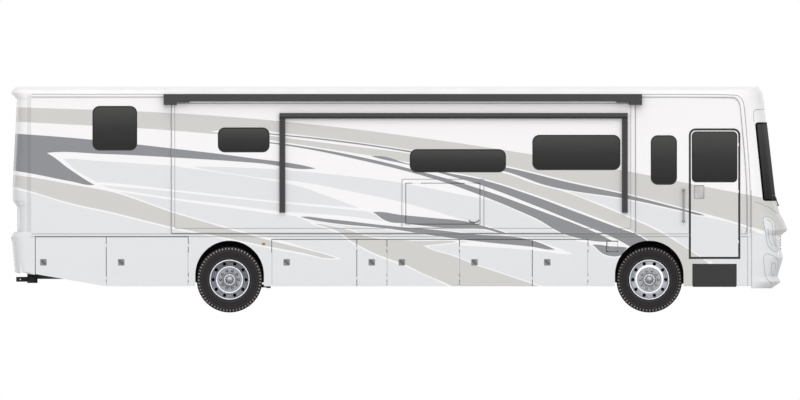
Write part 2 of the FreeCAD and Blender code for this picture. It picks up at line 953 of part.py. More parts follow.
# Headlamps that wrap the corners, fog lamps below them, and a slotted grille between
headlamp_back = nose - d.headlamp_rear
headlamp_face = nose - d.headlamp_front
headlamps = flush_piece("headlamp_lenses", over_coach("headlamp_reach", [
    (headlamp_back, d.headlamp_top, d.headlamp_bend / 2),
    (nose - d.headlamp_bevel_setback, d.headlamp_top, d.headlamp_bend),
    (headlamp_face, d.headlamp_shoulder, d.headlamp_bend), (headlamp_face, d.headlamp_mid, d.headlamp_bend),
    (nose - d.headlamp_tip_setback, d.headlamp_tip, d.headlamp_bend / 4),
    (nose - d.headlamp_foot_setback, d.headlamp_foot, d.headlamp_bend),
    (nose - d.headlamp_heel_setback, d.headlamp_heel, d.headlamp_bend)]))
grille_rear = nose - d.front_cap_depth
grille_ahead = nose + d.tool_over
fog_reaches = [across(f"fog_reach_{n}", grille_rear, grille_ahead,
                      rect(*ordered(d.fog_out * sign, (d.fog_out - d.fog_wide) * sign), d.fog_foot,
                           d.fog_foot + d.fog_high, d.fog_corner)) for n, sign in enumerate((-1, 1), 1)]
fog_lamps = flush_piece("fog_lenses", group("fog_reach", *fog_reaches))
slot_pitch = (d.grille_head - d.grille_foot - d.grille_border) / d.grille_slots
slot_half = d.grille_half - d.grille_border
slots = []
for n in range(SIZES["grille_slots"]):
    slot_foot = d.grille_foot + d.grille_border + slot_pitch * n
    slots.append(rect(-slot_half, slot_half, slot_foot, slot_foot + slot_pitch - d.grille_bar,
                      d.grille_bar / 4))
grille_edge = rect(-d.grille_half, d.grille_half, d.grille_foot, d.grille_head, d.grille_corner)
grille = flush_piece("grille_bars", across("grille_reach", grille_rear, grille_ahead, grille_edge, *slots))
grille_pocket = flush_piece("grille_pocket", across("grille_seat", grille_rear, grille_ahead, grille_edge))
recess_back = nose - d.recess_setback
recess = flush_piece("brow_recess", over_coach("recess_reach", [
    (recess_back, screen_head + d.recess_high, d.recess_corner), (nose - d.screen_side_top, screen_head),
    (nose + d.tool_over, screen_head), (nose + d.tool_over, screen_head + d.recess_high)]))
front_ahead = cut("front_ahead", outer_front, over_coach("front_behind_joint", behind_joint))
node(cut("front_cap_shape", front_ahead, inner_front, over_coach("screen_hole", screen_prism), headlamps,
         fog_lamps, grille_pocket, recess), "front_cap")
node(group("front_lamp_set", headlamps, fog_lamps), "front_lamps")
node(grille, "front_grille")


def rear_profile(reach, inset, low):
    """Side view of the tail at the centre plane, either the upper cap or the lower fascia."""
    def at(setback, height, *radius):
        return (tail + setback + inset + reach, height, *radius)
    deep = d.rear_cap_depth - inset
    if low:
        return [at(deep, d.fascia_bottom), at(d.fascia_foot_setback, d.fascia_foot),
                at(d.fascia_crest_setback, d.fascia_crest), at(d.fascia_top_setback, d.fascia_top),
                at(deep, d.fascia_top)]
    top = d.roof_height + d.tool_over - inset
    return [at(deep, d.fascia_top), at(d.tail_ledge_setback, d.fascia_top),
            at(d.tail_ledge_setback, d.tail_ledge), at(d.tail_step_setback, d.tail_step),
            at(d.tail_bulge_setback, d.tail_bulge),
            at(d.lip_under_setback, d.roof_height - d.lip_under_drop),
            at(0, d.roof_height - d.lip_edge_drop), at(d.tail_roof_setback, top), at(deep, top)]


def rear_path(reach, inset):
    """Plan curve of the tail: slightly crowned, with rounded corners."""
    half = side - inset
    rise = d.tail_crown / side
    peak = d.tail_crown_radius * (root(1 + rise * rise) - 1)
    return [(tail + reach, -half), (tail + d.tail_crown, -(half - d.corner_taper / 2), d.rear_corner),
            (tail - peak, 0, d.tail_crown_radius),
            (tail + d.tail_crown, half - d.corner_taper / 2, d.rear_corner), (tail + reach, half)]


def rear_solid(name, inset, low):
    """The tail's outer form behind the wall edge."""
    reach = d.rear_cap_depth
    swept = carried(name + "_form", rear_profile(reach, inset, low), rear_path(reach, inset), side - inset)
    under = across(name + "_under", tail - d.tool_over * 2, wall_rear,
                   roof_section(d.fascia_bottom - d.tool_over, inset))
    return common(name + "_top", swept, under)


rear_outer = rear_solid("rear_outer", size(0), False)
rear_inner = rear_solid("rear_inner", d.cap_skin, False)
rear_lens = rear_solid("rear_lens", d.glass_thick, False)
fascia_outer = rear_solid("fascia_outer", size(0), True)
fascia_inner = rear_solid("fascia_inner", d.cap_skin, True)
room_rear = wall_rear - d.rear_cap_depth / 2
rear_room = block("rear_room", room_rear, wall_rear + d.tool_over, -wall_in, wall_in,
                  d.fascia_top - d.tool_over, drip_top - d.roof_thick)
fascia_room = block("fascia_room", room_rear, wall_rear + d.tool_over, -wall_in, wall_in,
                    d.fascia_bottom - d.tool_over, d.fascia_top + d.tool_over)

# Tail lamps, flush in the ledge below the rear cap's step
lamp_reaches = [across(f"tail_lamp_reach_{n}", tail - d.tool_over, room_rear,
                       rect(*ordered(d.tail_lamp_out * sign, (d.tail_lamp_out - d.tail_lamp_wide) * sign),
                            d.tail_lamp_foot, d.tail_lamp_foot + d.tail_lamp_high, d.tail_lamp_corner))
                for n, sign in enumerate((-1, 1), 1)]
tail_lamps = cut("tail_lenses", common("tail_lamp_skin", rear_outer, group("tail_lamp_reach", *lamp_reaches)),
                 rear_lens)
node(cut("rear_cap_shape", rear_outer, rear_inner, rear_room, tail_lamps), "rear_cap")
node(tail_lamps, "tail_lamps")

# Engine door in the tail fascia, hinged along its top edge, with louvres for the radiator
engine_door_foot = d.fascia_foot + d.engine_door_rise
engine_door_head = d.fascia_crest - d.engine_door_drop
door_in = d.engine_door_half - d.panel_gap
door_cut = block("engine_door_cut", tail - d.tool_over, wall_rear, -d.engine_door_half, d.engine_door_half,
                 engine_door_foot, engine_door_head)
door_keep = block("engine_door_keep", tail - d.tool_over, wall_rear, -door_in, door_in,
                  engine_door_foot + d.panel_gap, engine_door_head - d.panel_gap)
louvre_first = (engine_door_foot + engine_door_head - d.louvre_pitch * (d.louvres - 1)) / 2
louvre_cuts = []
for n in range(SIZES["louvres"]):
    z = louvre_first + d.louvre_pitch * n
    louvre_cuts.append(block(f"louvre_{n}", tail - d.tool_over, wall_rear, -d.louvre_half, d.louvre_half,
                             z - d.louvre_high / 2, z + d.louvre_high / 2))
engine_axis = (tail + d.fascia_crest_setback, engine_door_head - gap)
arm_reach = (size(-d.hinge_radius + 1), d.cap_skin + d.hinge_leaf)
arm_high = gap + d.hinge_arm
lid_arms = []
lid_leaves = []
for n, y in enumerate((-d.engine_hinge_in, d.engine_hinge_in - 3 * d.hinge_barrel), 1):
    fixed, moving = hinge(f"engine_hinge_{n}", "y", (engine_axis[0], y, engine_axis[1]),
                          (arm_reach, (size(0), arm_high)), (arm_reach, (-arm_high, size(0))))
    lid_arms += fixed
    lid_leaves += moving
fascia_shape = cut("rear_fascia_shape", fascia_outer, fascia_inner, fascia_room, door_cut)
node(fuse("rear_fascia_all", fascia_shape, *lid_arms), "rear_bumper")
door_slab = common("engine_door_slab", fascia_outer, door_keep)
node(fuse("engine_door_all", cut("engine_door_shape", door_slab, fascia_inner, *louvre_cuts), *lid_leaves),
     "engine_door")

# Chassis: two channel rails with cross members
rail_rear = tail + d.frame_tail_setback
rail_front = nose - d.frame_nose_setback


def channel(name, sign):
    """A channel rail, open towards the middle of the coach."""
    web_out = frame_out * sign
    web_in = (frame_out - d.frame_web) * sign
    lips = (frame_out - d.frame_flange) * sign
    return across(name, rail_rear, rail_front, [
        (web_out, frame_foot), (web_out, floor_foot), (lips, floor_foot), (lips, floor_foot - d.frame_web),
        (web_in, floor_foot - d.frame_web), (web_in, frame_foot + d.frame_web),
        (lips, frame_foot + d.frame_web), (lips, frame_foot)])


members = [channel("rail_right", -1), channel("rail_left", 1)]
member_in = frame_out - d.frame_web
stations = (rail_rear, rear_axle_x - d.member_behind, rear_axle_x + d.member_ahead,
            (rear_axle_x * 2 + front_axle_x) / 3, (rear_axle_x + front_axle_x) / 2,
            (rear_axle_x + front_axle_x * 3) / 4, front_axle_x - d.member_beside,
            front_axle_x + d.member_beside, rail_front - d.member_wide)
for n, station in enumerate(stations, 1):
    members.append(block(f"member_{n}", station, station + d.member_wide, -member_in, member_in,
                         frame_foot + d.member_rise, floor_foot - d.member_drop))
half_receiver = d.receiver_size / 2
receiver_x = tail + d.fascia_foot_setback + d.receiver_inset
receiver_foot = d.fascia_bottom - d.receiver_drop
receiver_z = receiver_foot + half_receiver
receiver = block("receiver", receiver_x, rail_rear + d.hitch_bar_size + d.panel_gap, -half_receiver,
                 half_receiver, receiver_foot, receiver_foot + d.receiver_size)
receiver_hole = block("receiver_hole", receiver_x - 1, rail_rear + d.receiver_inset, -d.receiver_bore / 2,
                      d.receiver_bore / 2, receiver_z - d.receiver_bore / 2, receiver_z + d.receiver_bore / 2)
receiver_pin = rod("receiver_pin", "y", (receiver_x + d.receiver_pin_setback, -d.receiver_size, receiver_z),
                   d.receiver_pin_radius, d.receiver_size * 2)
bar_rear = rail_rear + d.receiver_inset
bar_head = d.fascia_bottom - d.panel_gap
cross_bar = block("hitch_bar", bar_rear, bar_rear + d.hitch_bar_size, -d.hitch_bar_half, d.hitch_bar_half,
                  bar_head - d.hitch_bar_size, bar_head)
hangers = [block(f"hitch_hanger_{n}", rail_rear, rail_rear + d.hitch_hanger_long,
                 *ordered(frame_out * sign, (frame_out + d.hitch_hanger_thick) * sign),
                 bar_head - d.hitch_bar_size, frame_foot + d.member_rise * 2)
           for n, sign in enumerate((-1, 1), 1)]
hitch = cut("hitch", fuse("hitch_steel", receiver, cross_bar, *hangers), receiver_hole, receiver_pin)
node(group("chassis", *members, hitch), "chassis_frame")

# Floor with the entry step well on the right
well_rear = entry_rear + d.well_margin
well_front = entry_front - d.well_margin
well_in = -(side - d.well_reach)
well_foot = d.entry_foot - d.well_drop
floor_plate = level("floor_plate", floor_foot, d.floor_top,
                    rect(wall_rear - d.floor_tail_lap, wall_front, -wall_in, wall_in))
well_hole = block("well_hole", well_rear + d.well_wall, well_front - d.well_wall, -(wall_in + 1),
                  well_in - d.well_wall, floor_foot - 1, d.floor_top + 1)
well_outer = block("well_outer", well_rear, well_front, -wall_in, well_in, well_foot, floor_foot)
well_room = block("well_inner_room", well_rear + d.well_wall, well_front - d.well_wall, -(wall_in + gap * 2),
                  well_in - d.well_wall, well_foot + d.well_wall, floor_foot + gap * 2)
inner_step = block("inner_step", well_rear, well_front, well_in - d.inner_step_deep, well_in, well_foot,
                   well_foot + d.inner_step_high)
step_rear = entry_rear + (d.entry_wide - d.step_wide) / 2
step_front = step_rear + d.step_wide
step_guides = [block(f"step_guide_{n}", x, x + d.step_guide, -(side - d.step_guide_inset),
                     -(side - d.step_deep), d.step_top + d.seat_gap, well_foot)
               for n, x in enumerate((step_rear, step_front - d.step_guide), 1)]
node(fuse("floor_shape", cut("floor_open", floor_plate, well_hole), cut("well_tray", well_outer, well_room),
          inner_step, *step_guides), "coach_floor")

# Lower side panels with the wheel arches
bays_rear = tail + d.tail_panel
bay_edges = [bays_rear, bays_rear + d.bay_1, bays_rear + d.bay_1 + d.bay_2]
arch_front = bay_edges[-1] + d.rear_arch_panel
bay_edges.append(arch_front)
for wide in (d.bay_3, d.bay_4, d.bay_5, d.bay_6, d.bay_7):
    bay_edges.append(bay_edges[-1] + wide)
sloped_foot = d.skirt_bottom + d.tail_slope_rise
bay_head = belt_foot - d.lower_rail


def arch(centre):
    """Lower edge of a panel round a wheel, from its rear corner to its front corner."""
    top = d.arch_height + d.arch_radius
    return [(centre - d.arch_radius, d.skirt_bottom), (centre - d.arch_radius, top, d.arch_radius - 1),
            (centre + d.arch_radius, top, d.arch_radius - 1), (centre + d.arch_radius, d.skirt_bottom)]


def side_panels(label, sign, door):
    """Fixed lower panels of one side as separate solids in one sub-part."""
    planes = ordered(side * sign, skirt_in * sign)
    rear_strip = upright(label + "_tail", *planes,
                         [(wall_rear, sloped_foot), (bays_rear - gap, sloped_foot - d.panel_gap),
                          (bays_rear - gap, belt_foot), (wall_rear, belt_foot)])
    rear_arch = upright(label + "_rear", *planes,
                        [(bay_edges[2] + gap, d.skirt_bottom)] + arch(rear_axle_x)
                        + [(arch_front - gap, d.skirt_bottom), (arch_front - gap, belt_foot),
                           (bay_edges[2] + gap, belt_foot)])
    header = upright(label + "_header", *planes,
                     rect(arch_front - gap, bay_edges[-1] + gap, bay_head, belt_foot))
    front = upright(label + "_front", *planes,
                    [(bay_edges[-1] + gap, d.skirt_bottom)] + arch(front_axle_x)
                    + [(wall_front, d.skirt_bottom), (wall_front, belt_foot),
                       (bay_edges[-1] + gap, belt_foot)])
    if door:
        front = fuse(label + "_hinged", cut(label + "_cut", front, *door), *flap_arms)
    return node(group(label + "_all", rear_strip, rear_arch, header, front), label)


fuel_rear = tail + d.fuel_setback
fuel_front = fuel_rear + d.fuel_wide
fuel_head = d.fuel_foot + d.fuel_high
panel_cut = (-(side + d.tool_over), -(skirt_in - gap * 2))
fuel_hole = block("fuel_hole", fuel_rear, fuel_front, *panel_cut, d.fuel_foot, fuel_head)
step_hole = block("step_hole", step_rear - d.panel_gap, step_front + d.panel_gap, *panel_cut,
                  d.step_foot - d.panel_gap, d.step_top + d.panel_gap)
arm_out = (size(0), d.hinge_arm)
flap_leaf = gap + d.hinge_leaf
flap_arms, flap_leaves = hinge("flap_hinge", "z", (fuel_front - gap, -side, d.fuel_foot + d.fuel_hinge_rise),
                               ((size(0), flap_leaf), arm_out), ((-flap_leaf, size(0)), arm_out))
side_panels("skirt_right", -1, (door_tool, fuel_hole, step_hole))
side_panels("skirt_left", 1, ())


def flush_latch(name, slab, sign, face, x, z, wide, high):
    """Sink a latch pocket into a door's outer face and leave its slanted paddle in it."""
    floor = face - d.latch_deep
    pocket = upright(name + "_pocket", *ordered(face * sign, floor * sign),
                     rect(x - wide / 2, x + wide / 2, z - high / 2, z + high / 2, d.latch_border / 2))
    reach = wide / 2 - d.latch_border
    rise = high / 2 - d.latch_border
    paddle = upright(name + "_paddle", *ordered((floor + d.latch_paddle) * sign, (floor - 1) * sign),
                     [(x - reach, z + rise / 4), (x + reach / 4, z - rise), (x + reach, z - rise),
                      (x + reach, z - rise / 4), (x - reach / 4, z + rise), (x - reach, z + rise)])
    return fuse(name, cut(name + "_slab", slab, pocket), paddle)


# Baggage doors, each hinged along its front edge
bay_leaves = []


def bay_door(label, sign, rear, front, head, slope, latch):
    """A flat baggage door with a flush latch near its rear edge."""
    foot = d.skirt_bottom
    corners = [(rear + gap, foot + slope), (front - gap, foot), (front - gap, head), (rear + gap, head)]
    slab = upright(label + "_slab", *ordered(side * sign, (side - d.door_thick) * sign), corners)
    slab = flush_latch(label + "_latch", slab, sign, side, rear + latch, d.latch_height, d.latch_size,
                       d.latch_size)
    leaves = []
    for n, z in enumerate((foot + d.hinge_inset, head - d.hinge_inset - 3 * d.hinge_barrel), 1):
        fixed, moving = hinge(f"{label}_hinge_{n}", "z", (front, side * sign, z),
                              ((-d.hinge_leaf / 2, d.hinge_leaf / 2), ordered(0, -d.bay_inset * sign)),
                              ((-gap - d.hinge_leaf, size(0)), ordered(0, -d.hinge_arm * sign)))
        bay_leaves.extend(fixed)
        leaves += moving
    return node(fuse(label + "_all", slab, *leaves), label)


RIGHT_BAYS = ((0, 1), (1, 2), (3, 4), (4, 5), (5, 6), (6, 7), (7, 8))
LEFT_BAYS = ((0, 1), (1, 2), (3, 5), (5, 6), (6, 8))
for word, sign, bays in (("right", -1, RIGHT_BAYS), ("left", 1, LEFT_BAYS)):
    for n, (first, last) in enumerate(bays, 1):
        sloped = n == 1
        bay_door(f"bay_door_{word}_{n}", sign, bay_edges[first], bay_edges[last],
                 (belt_foot if n < 3 else bay_head) - d.panel_gap,
                 d.tail_slope_rise if sloped else size(0),
                 d.tail_latch_setback if sloped else d.latch_setback)

# Baggage bays: floor pans and bulkheads hung under the floor
bay_out = side - d.bay_inset
pan_top = d.bay_floor_top
pan_foot = pan_top - d.bay_floor_thick
bulk = d.bulkhead_thick
bay_parts = [block("bay_pan", arch_front, bay_edges[-1], -bay_out, bay_out, pan_foot, pan_top)]
for n, station in enumerate((*bay_edges[3:8], bay_edges[8] - bulk), 1):
    bay_parts.append(block(f"bulkhead_{n}", station, station + bulk, -bay_out, bay_out, pan_foot, frame_foot))
    for m, sign in enumerate((-1, 1), 1):
        bay_parts.append(block(f"bulkhead_{n}_{m}", station, station + bulk,
                               *ordered(bay_out * sign, frame_out * sign), pan_foot, floor_foot))
rear_start = wall_rear + d.hinge_inset
rear_bay_in = frame_out + d.rear_bay_inner
rear_pan_foot = sloped_foot + d.rear_bay_floor_rise
for m, sign in enumerate((-1, 1), 1):
    span = ordered(bay_out * sign, rear_bay_in * sign)
    inner = ordered(rear_bay_in * sign, (rear_bay_in + bulk) * sign)
    bay_parts.append(block(f"rear_pan_{m}_1", rear_start, bay_edges[1] + bulk, *span, rear_pan_foot,
                           rear_pan_foot + bulk))
    bay_parts.append(block(f"rear_pan_{m}_2", bay_edges[1], bay_edges[2], *span, pan_foot, pan_top))
    bay_parts.append(block(f"rear_inner_{m}_1", rear_start, bay_edges[1] + bulk, *inner, rear_pan_foot,
                           floor_foot))
    bay_parts.append(block(f"rear_inner_{m}_2", bay_edges[1], bay_edges[2], *inner, pan_foot, floor_foot))
    for n, (station, foot) in enumerate(((rear_start, rear_pan_foot), (bay_edges[1], pan_foot),
                                         (bay_edges[2] - bulk, pan_foot)), 1):
        bay_parts.append(block(f"rear_bulkhead_{m}_{n}", station, station + bulk, *span, foot, floor_foot))
node(fuse("bays", *bay_parts, *bay_leaves), "baggage_bays")


def wheel_well(name, centre, sign, half, inner):
    """Black liner round a wheel, arched over it, with a plate on its inner side."""
    skin = d.well_skin

    def outline(inset, drop):
        foot = d.skirt_bottom + d.well_foot_rise - drop
        return [(centre - half + inset, foot), (centre + half - inset, foot),
                (centre + half - inset, d.well_knee), (centre + d.well_crown_half, floor_foot - inset),
                (centre - d.well_crown_half, floor_foot - inset), (centre - half + inset, d.well_knee)]
    low, high = ordered(inner * sign, (skirt_in - d.well_reveal) * sign)
    outer = upright(name + "_outer", low, high, outline(0, 0))
    room = upright(name + "_room", low + skin if sign > 0 else low - d.panel_gap,
                   high + d.panel_gap if sign > 0 else high - skin, outline(skin, d.panel_gap))
    notch = block(name + "_notch", centre - d.well_notch, centre + d.well_notch,
                  *ordered((inner - d.panel_gap) * sign, (inner + skin + d.panel_gap) * sign),
                  d.skirt_bottom, d.tyre_radius + d.well_notch)
    return cut(name, outer, room, notch)


rear_half = d.rear_arch_panel / 2 - d.rear_well_gap
wells = [wheel_well("well_rear_right", rear_axle_x, -1, rear_half, d.rear_well_inner),
         wheel_well("well_rear_left", rear_axle_x, 1, rear_half, d.rear_well_inner),
         wheel_well("well_front_right", front_axle_x, -1, d.well_half, d.well_inner),
         wheel_well("well_front_left", front_axle_x, 1, d.well_half, d.well_inner)]
node(group("wells", *wells), "wheel_wells")

# Wheels
axle_z = d.tyre_radius
front_plane = d.front_track / 2
twin_plane = d.twin_track / 2
rim_in = d.rim_radius - d.rim_lip
half_tyre = d.tyre_width / 2
half_rim = d.rim_wide / 2


def tyre(name, x, y):
    """A tyre ring with rounded shoulders and bulged walls."""
    half_tread = half_tyre - d.tread_inset
    bulge = (d.rim_radius + d.tyre_bulge, d.tyre_bulge_radius)
    return turned_about_y(name, (x, y, axle_z), [[
        (-half_rim, d.rim_radius), (half_rim, d.rim_radius), (half_tyre, *bulge),
        (half_tread, d.tyre_radius, d.tyre_shoulder), (-half_tread, d.tyre_radius, d.tyre_shoulder),
        (-half_tyre, *bulge)]])


def disc_wheel(name, x, y, towards):
    """A drop-centre barrel with a dished disc and hand holes; the disc bolts up on the towards side."""
    face = d.wheel_offset * towards
    back = (d.wheel_offset - d.disc_thick) * towards
    seat_low = (half_rim - d.disc_seat - d.disc_deep) * towards
    seat_high = (half_rim - d.disc_seat) * towards
    bore = d.hub_radius - d.weld_lap
    barrel = [(-half_rim, rim_in), (half_rim, rim_in), (half_rim, d.rim_radius), (-half_rim, d.rim_radius)]
    disc = [(seat_low, rim_in + d.weld_lap), (seat_high, rim_in + d.weld_lap),
            (face, rim_in - d.disc_slope, d.disc_bend), (face, bore), (back, bore),
            (back, rim_in - d.disc_slope - d.disc_thick / 3, d.disc_bend - d.disc_thick)]
    whole = fuse(name + "_solid", turned_about_y(name + "_barrel", (x, y, axle_z), [barrel]),
                 turned_about_y(name + "_disc", (x, y, axle_z), [disc]))
    low, high = ordered(seat_low, (d.wheel_offset + d.panel_gap) * towards)
    holes = []
    for n in range(SIZES["hand_holes"]):
        turn = f"{n} * 360deg / {d.hand_holes.text}"
        angle = math.radians(n * 360 / SIZES["hand_holes"])
        out_x = d.hand_hole_circle * Size(math.cos(angle), f"cos({turn})")
        out_z = d.hand_hole_circle * Size(math.sin(angle), f"sin({turn})")
        holes.append(rod(f"{name}_hole_{n}", "y", (x + out_x, y + low, axle_z + out_z),
                         d.hand_hole_radius, high - low))
    return cut(name, whole, *holes)


def hub(name, x, inner, outer, bore, bore_end, sign):
    """A hub with its cap, from the inner to the outer plane, bored for the axle up to bore_end."""
    cap = outer + d.hub_step
    return turned_about_y(name, (x, 0, axle_z), [[
        (inner * sign, bore), (bore_end * sign, bore), (bore_end * sign, 0), (cap * sign, 0),
        (cap * sign, d.hub_cap_radius, d.hub_cap_edge), (outer * sign, d.hub_cap_radius),
        (outer * sign, d.hub_radius - d.hub_step), ((outer - d.hub_taper) * sign, d.hub_radius),
        (inner * sign, d.hub_radius)]])


def drum(name, x, inner, outer, sign):
    """A brake drum, open on its inner side."""
    bore = d.hub_radius - d.weld_lap
    floor = outer - d.drum_wall
    return turned_about_y(name, (x, 0, axle_z), [[
        (inner * sign, d.drum_radius - d.drum_wall), (inner * sign, d.drum_radius),
        (outer * sign, d.drum_radius), (outer * sign, bore), (floor * sign, bore),
        (floor * sign, d.drum_radius - d.drum_wall)]])


front_mount = front_plane + d.wheel_offset
front_bore_end = front_mount + d.spindle_out + d.bore_gap
rear_bore_end = twin_plane + d.axle_end + d.bore_gap
for word, sign in (("right", -1), ("left", 1)):
    y = front_plane * sign
    outer_y = (twin_plane + d.wheel_offset) * sign
    inner_y = (twin_plane - d.wheel_offset) * sign
    node(tyre(f"front_tyre_{word}_ring", front_axle_x, y), f"front_tyre_{word}")
    node(fuse(f"front_rim_{word}_all",
              disc_wheel(f"front_wheel_{word}", front_axle_x, y, sign),
              hub(f"front_hub_{word}", front_axle_x, front_mount - d.front_hub_in,
                  front_mount + d.front_hub_out, d.spindle_radius + d.pin_gap, front_bore_end, sign),
              drum(f"front_drum_{word}", front_axle_x, front_mount - d.front_drum_in,
                   front_mount - d.disc_thick, sign)), f"front_rim_{word}")
    node(group(f"rear_tyres_{word}_pair", tyre(f"rear_tyre_{word}_outer", rear_axle_x, outer_y),
               tyre(f"rear_tyre_{word}_inner", rear_axle_x, inner_y)), f"rear_tyres_{word}")
    node(fuse(f"rear_rims_{word}_all",
              disc_wheel(f"rear_wheel_{word}_outer", rear_axle_x, outer_y, -sign),
              disc_wheel(f"rear_wheel_{word}_inner", rear_axle_x, inner_y, sign),
              hub(f"rear_hub_{word}", rear_axle_x, twin_plane - d.rear_hub_in, twin_plane + d.rear_hub_out,
                  d.axle_tube + d.pin_gap, rear_bore_end, sign),
              drum(f"rear_drum_{word}", rear_axle_x, twin_plane - d.rear_drum_in,
                   twin_plane - d.disc_thick, sign)), f"rear_rims_{word}")

# Front axle, knuckles and tie rod
kingpin = d.kingpin_track / 2
boss_foot = axle_z - d.kingpin_boss_half
boss_head = axle_z + d.kingpin_boss_half
beam_end = kingpin - d.kingpin_radius
axle_parts = [block("front_beam", front_axle_x - d.beam_half, front_axle_x + d.beam_half, -beam_end, beam_end,
                    boss_foot + d.weld_lap, axle_z)]
pin_holes = []
for n, sign in enumerate((-1, 1), 1):
    axle_parts.append(rod(f"kingpin_boss_{n}", "z", (front_axle_x, kingpin * sign, boss_foot),
                          d.kingpin_boss, boss_head - boss_foot))
    pin_holes.append(rod(f"kingpin_hole_{n}", "z", (front_axle_x, kingpin * sign, boss_foot - gap),
                         d.kingpin_radius + d.pin_gap, boss_head - boss_foot + gap * 2))
node(cut("front_axle_shape", fuse("front_axle_solid", *axle_parts), *pin_holes), "front_axle")

arm_low = axle_z - d.kingpin_half
yoke_head = axle_z + d.kingpin_half
rod_x = front_axle_x - d.steering_arm
for word, sign in (("right", -1), ("left", 1)):
    pin = rod(f"kingpin_{word}", "z", (front_axle_x, kingpin * sign, arm_low), d.kingpin_radius,
              d.kingpin_half * 2)
    yoke_x = (front_axle_x - d.yoke_half, front_axle_x + d.yoke_half)
    yoke_y = ordered((kingpin - d.kingpin_boss) * sign, (kingpin + d.yoke_reach) * sign)
    lower = block(f"yoke_lower_{word}", *yoke_x, *yoke_y, arm_low, boss_foot - d.yoke_gap)
    upper = block(f"yoke_upper_{word}", *yoke_x, *yoke_y, boss_head + d.yoke_gap, yoke_head)
    web = block(f"yoke_web_{word}", front_axle_x - d.yoke_web_half, front_axle_x + d.yoke_web_half,
                *ordered((kingpin + d.kingpin_boss + d.yoke_clear) * sign, (kingpin + d.yoke_reach) * sign),
                arm_low, yoke_head)
    low, high = ordered((kingpin + d.yoke_reach - gap) * sign, (front_mount + d.spindle_out) * sign)
    spindle = rod(f"spindle_{word}", "y", (front_axle_x, low, axle_z), d.spindle_radius, high - low)
    arm = block(f"steering_arm_{word}", rod_x - d.steering_arm_half, front_axle_x - d.yoke_half + gap,
                *ordered((kingpin - d.steering_arm_half) * sign, (kingpin + d.steering_arm_half) * sign),
                arm_low, arm_low + d.steering_arm_thick)
    eye = rod(f"arm_eye_{word}", "z", (rod_x, kingpin * sign, arm_low - gap), d.stud_radius + d.pin_gap,
              d.steering_arm_thick + gap * 2)
    steel = fuse(f"knuckle_{word}_solid", pin, lower, upper, web, spindle, arm)
    node(cut(f"knuckle_{word}_shape", steel, eye), f"knuckle_{word}")
rod_z = arm_low - d.tie_rod_drop
tie_parts = [rod("tie_bar", "y", (rod_x, -kingpin, rod_z), d.tie_rod_radius, kingpin * 2)]
for n, sign in enumerate((-1, 1), 1):
    tie_parts.append(rod(f"tie_end_{n}", "z", (rod_x, kingpin * sign, rod_z - d.tie_end_half),
                         d.tie_end_radius, d.tie_end_half * 2))
    tie_parts.append(rod(f"tie_stud_{n}", "z", (rod_x, kingpin * sign, rod_z), d.stud_radius,
                         d.tie_rod_drop + d.steering_arm_thick + gap))
node(fuse("tie_rod_shape", *tie_parts), "tie_rod")

# Rear axle with its differential
axle_reach = twin_plane + d.axle_end
axle_parts = [rod("axle_tube", "y", (rear_axle_x, -axle_reach, axle_z), d.axle_tube, axle_reach * 2),
              rod("axle_banjo", "x", (rear_axle_x - d.banjo_rear, 0, axle_z), d.banjo_radius,
                  d.banjo_rear + d.banjo_front),
              rod("axle_pinion", "x", (rear_axle_x - d.pinion_reach, 0, axle_z), d.pinion_radius,
                  d.pinion_reach - d.banjo_front)]
for n, sign in enumerate((-1, 1), 1):
    low, high = ordered((twin_plane - d.backing_in) * sign,
                        (twin_plane - d.backing_in + d.backing_thick) * sign)
    axle_parts.append(rod(f"axle_flange_{n}", "y", (rear_axle_x, low, axle_z), d.backing_radius, high - low))
node(fuse("rear_axle_shape", *axle_parts), "rear_axle")


# Air springs, links and hangers between the axles and the rails
def air_spring(name, x, y, foot):
    """Pedestal, bellows and top plate."""
    half = d.spring_plate_half
    bellows_foot = foot + d.spring_seat_high
    plate_foot = frame_foot - d.spring_plate_thick
    return fuse(name, rod(name + "_seat", "z", (x, y, foot), d.spring_seat_radius, d.spring_seat_high + gap),
                rod(name + "_bellows", "z", (x, y, bellows_foot), d.spring_radius,
                    plate_foot + d.weld_lap - bellows_foot),
                block(name + "_plate", x - half, x + half, y - half, y + half, plate_foot, frame_foot))


front_hanger = front_axle_x + d.beam_half + d.link_long
rear_hanger = rear_axle_x + d.rear_seat_half + d.rear_link_long
seat_head = axle_z - d.axle_tube
seat_low = seat_head - d.rear_seat_deep
hung = []
for n, sign in enumerate((-1, 1), 1):
    y = d.spring_track / 2 * sign
    hanger_y = (y - d.hanger_half, y + d.hanger_half)
    hung.append(fuse(
        f"front_suspension_{n}", air_spring(f"front_spring_{n}", front_axle_x, y, axle_z),
        rod(f"front_link_{n}", "x", (front_axle_x + d.beam_half, y, axle_z - d.kingpin_boss_half / 2),
            d.link_radius, d.link_long + d.hanger_long / 2),
        block(f"front_hanger_{n}", front_hanger, front_hanger + d.hanger_long, *hanger_y,
              axle_z - d.kingpin_boss_half, frame_foot)))
    hung.append(fuse(
        f"rear_suspension_{n}",
        block(f"rear_seat_{n}", rear_axle_x - d.rear_seat_half, rear_axle_x + d.rear_seat_half,
              y - d.rear_seat_wide, y + d.rear_seat_wide, seat_low, seat_head),
        air_spring(f"rear_spring_{n}_a", rear_axle_x - d.rear_spring_out, y, seat_head - gap),
        air_spring(f"rear_spring_{n}_b", rear_axle_x + d.rear_spring_out, y, seat_head - gap),
        rod(f"rear_link_{n}", "x",
            (rear_axle_x + d.rear_seat_half - gap, y, seat_head - d.rear_seat_deep / 2),
            d.link_radius, d.rear_link_long + d.hanger_half + gap),
        block(f"rear_hanger_{n}", rear_hanger, rear_hanger + d.hanger_half * 2, *hanger_y, seat_low,
              frame_foot)))
node(group("suspension_all", *hung), "suspension")

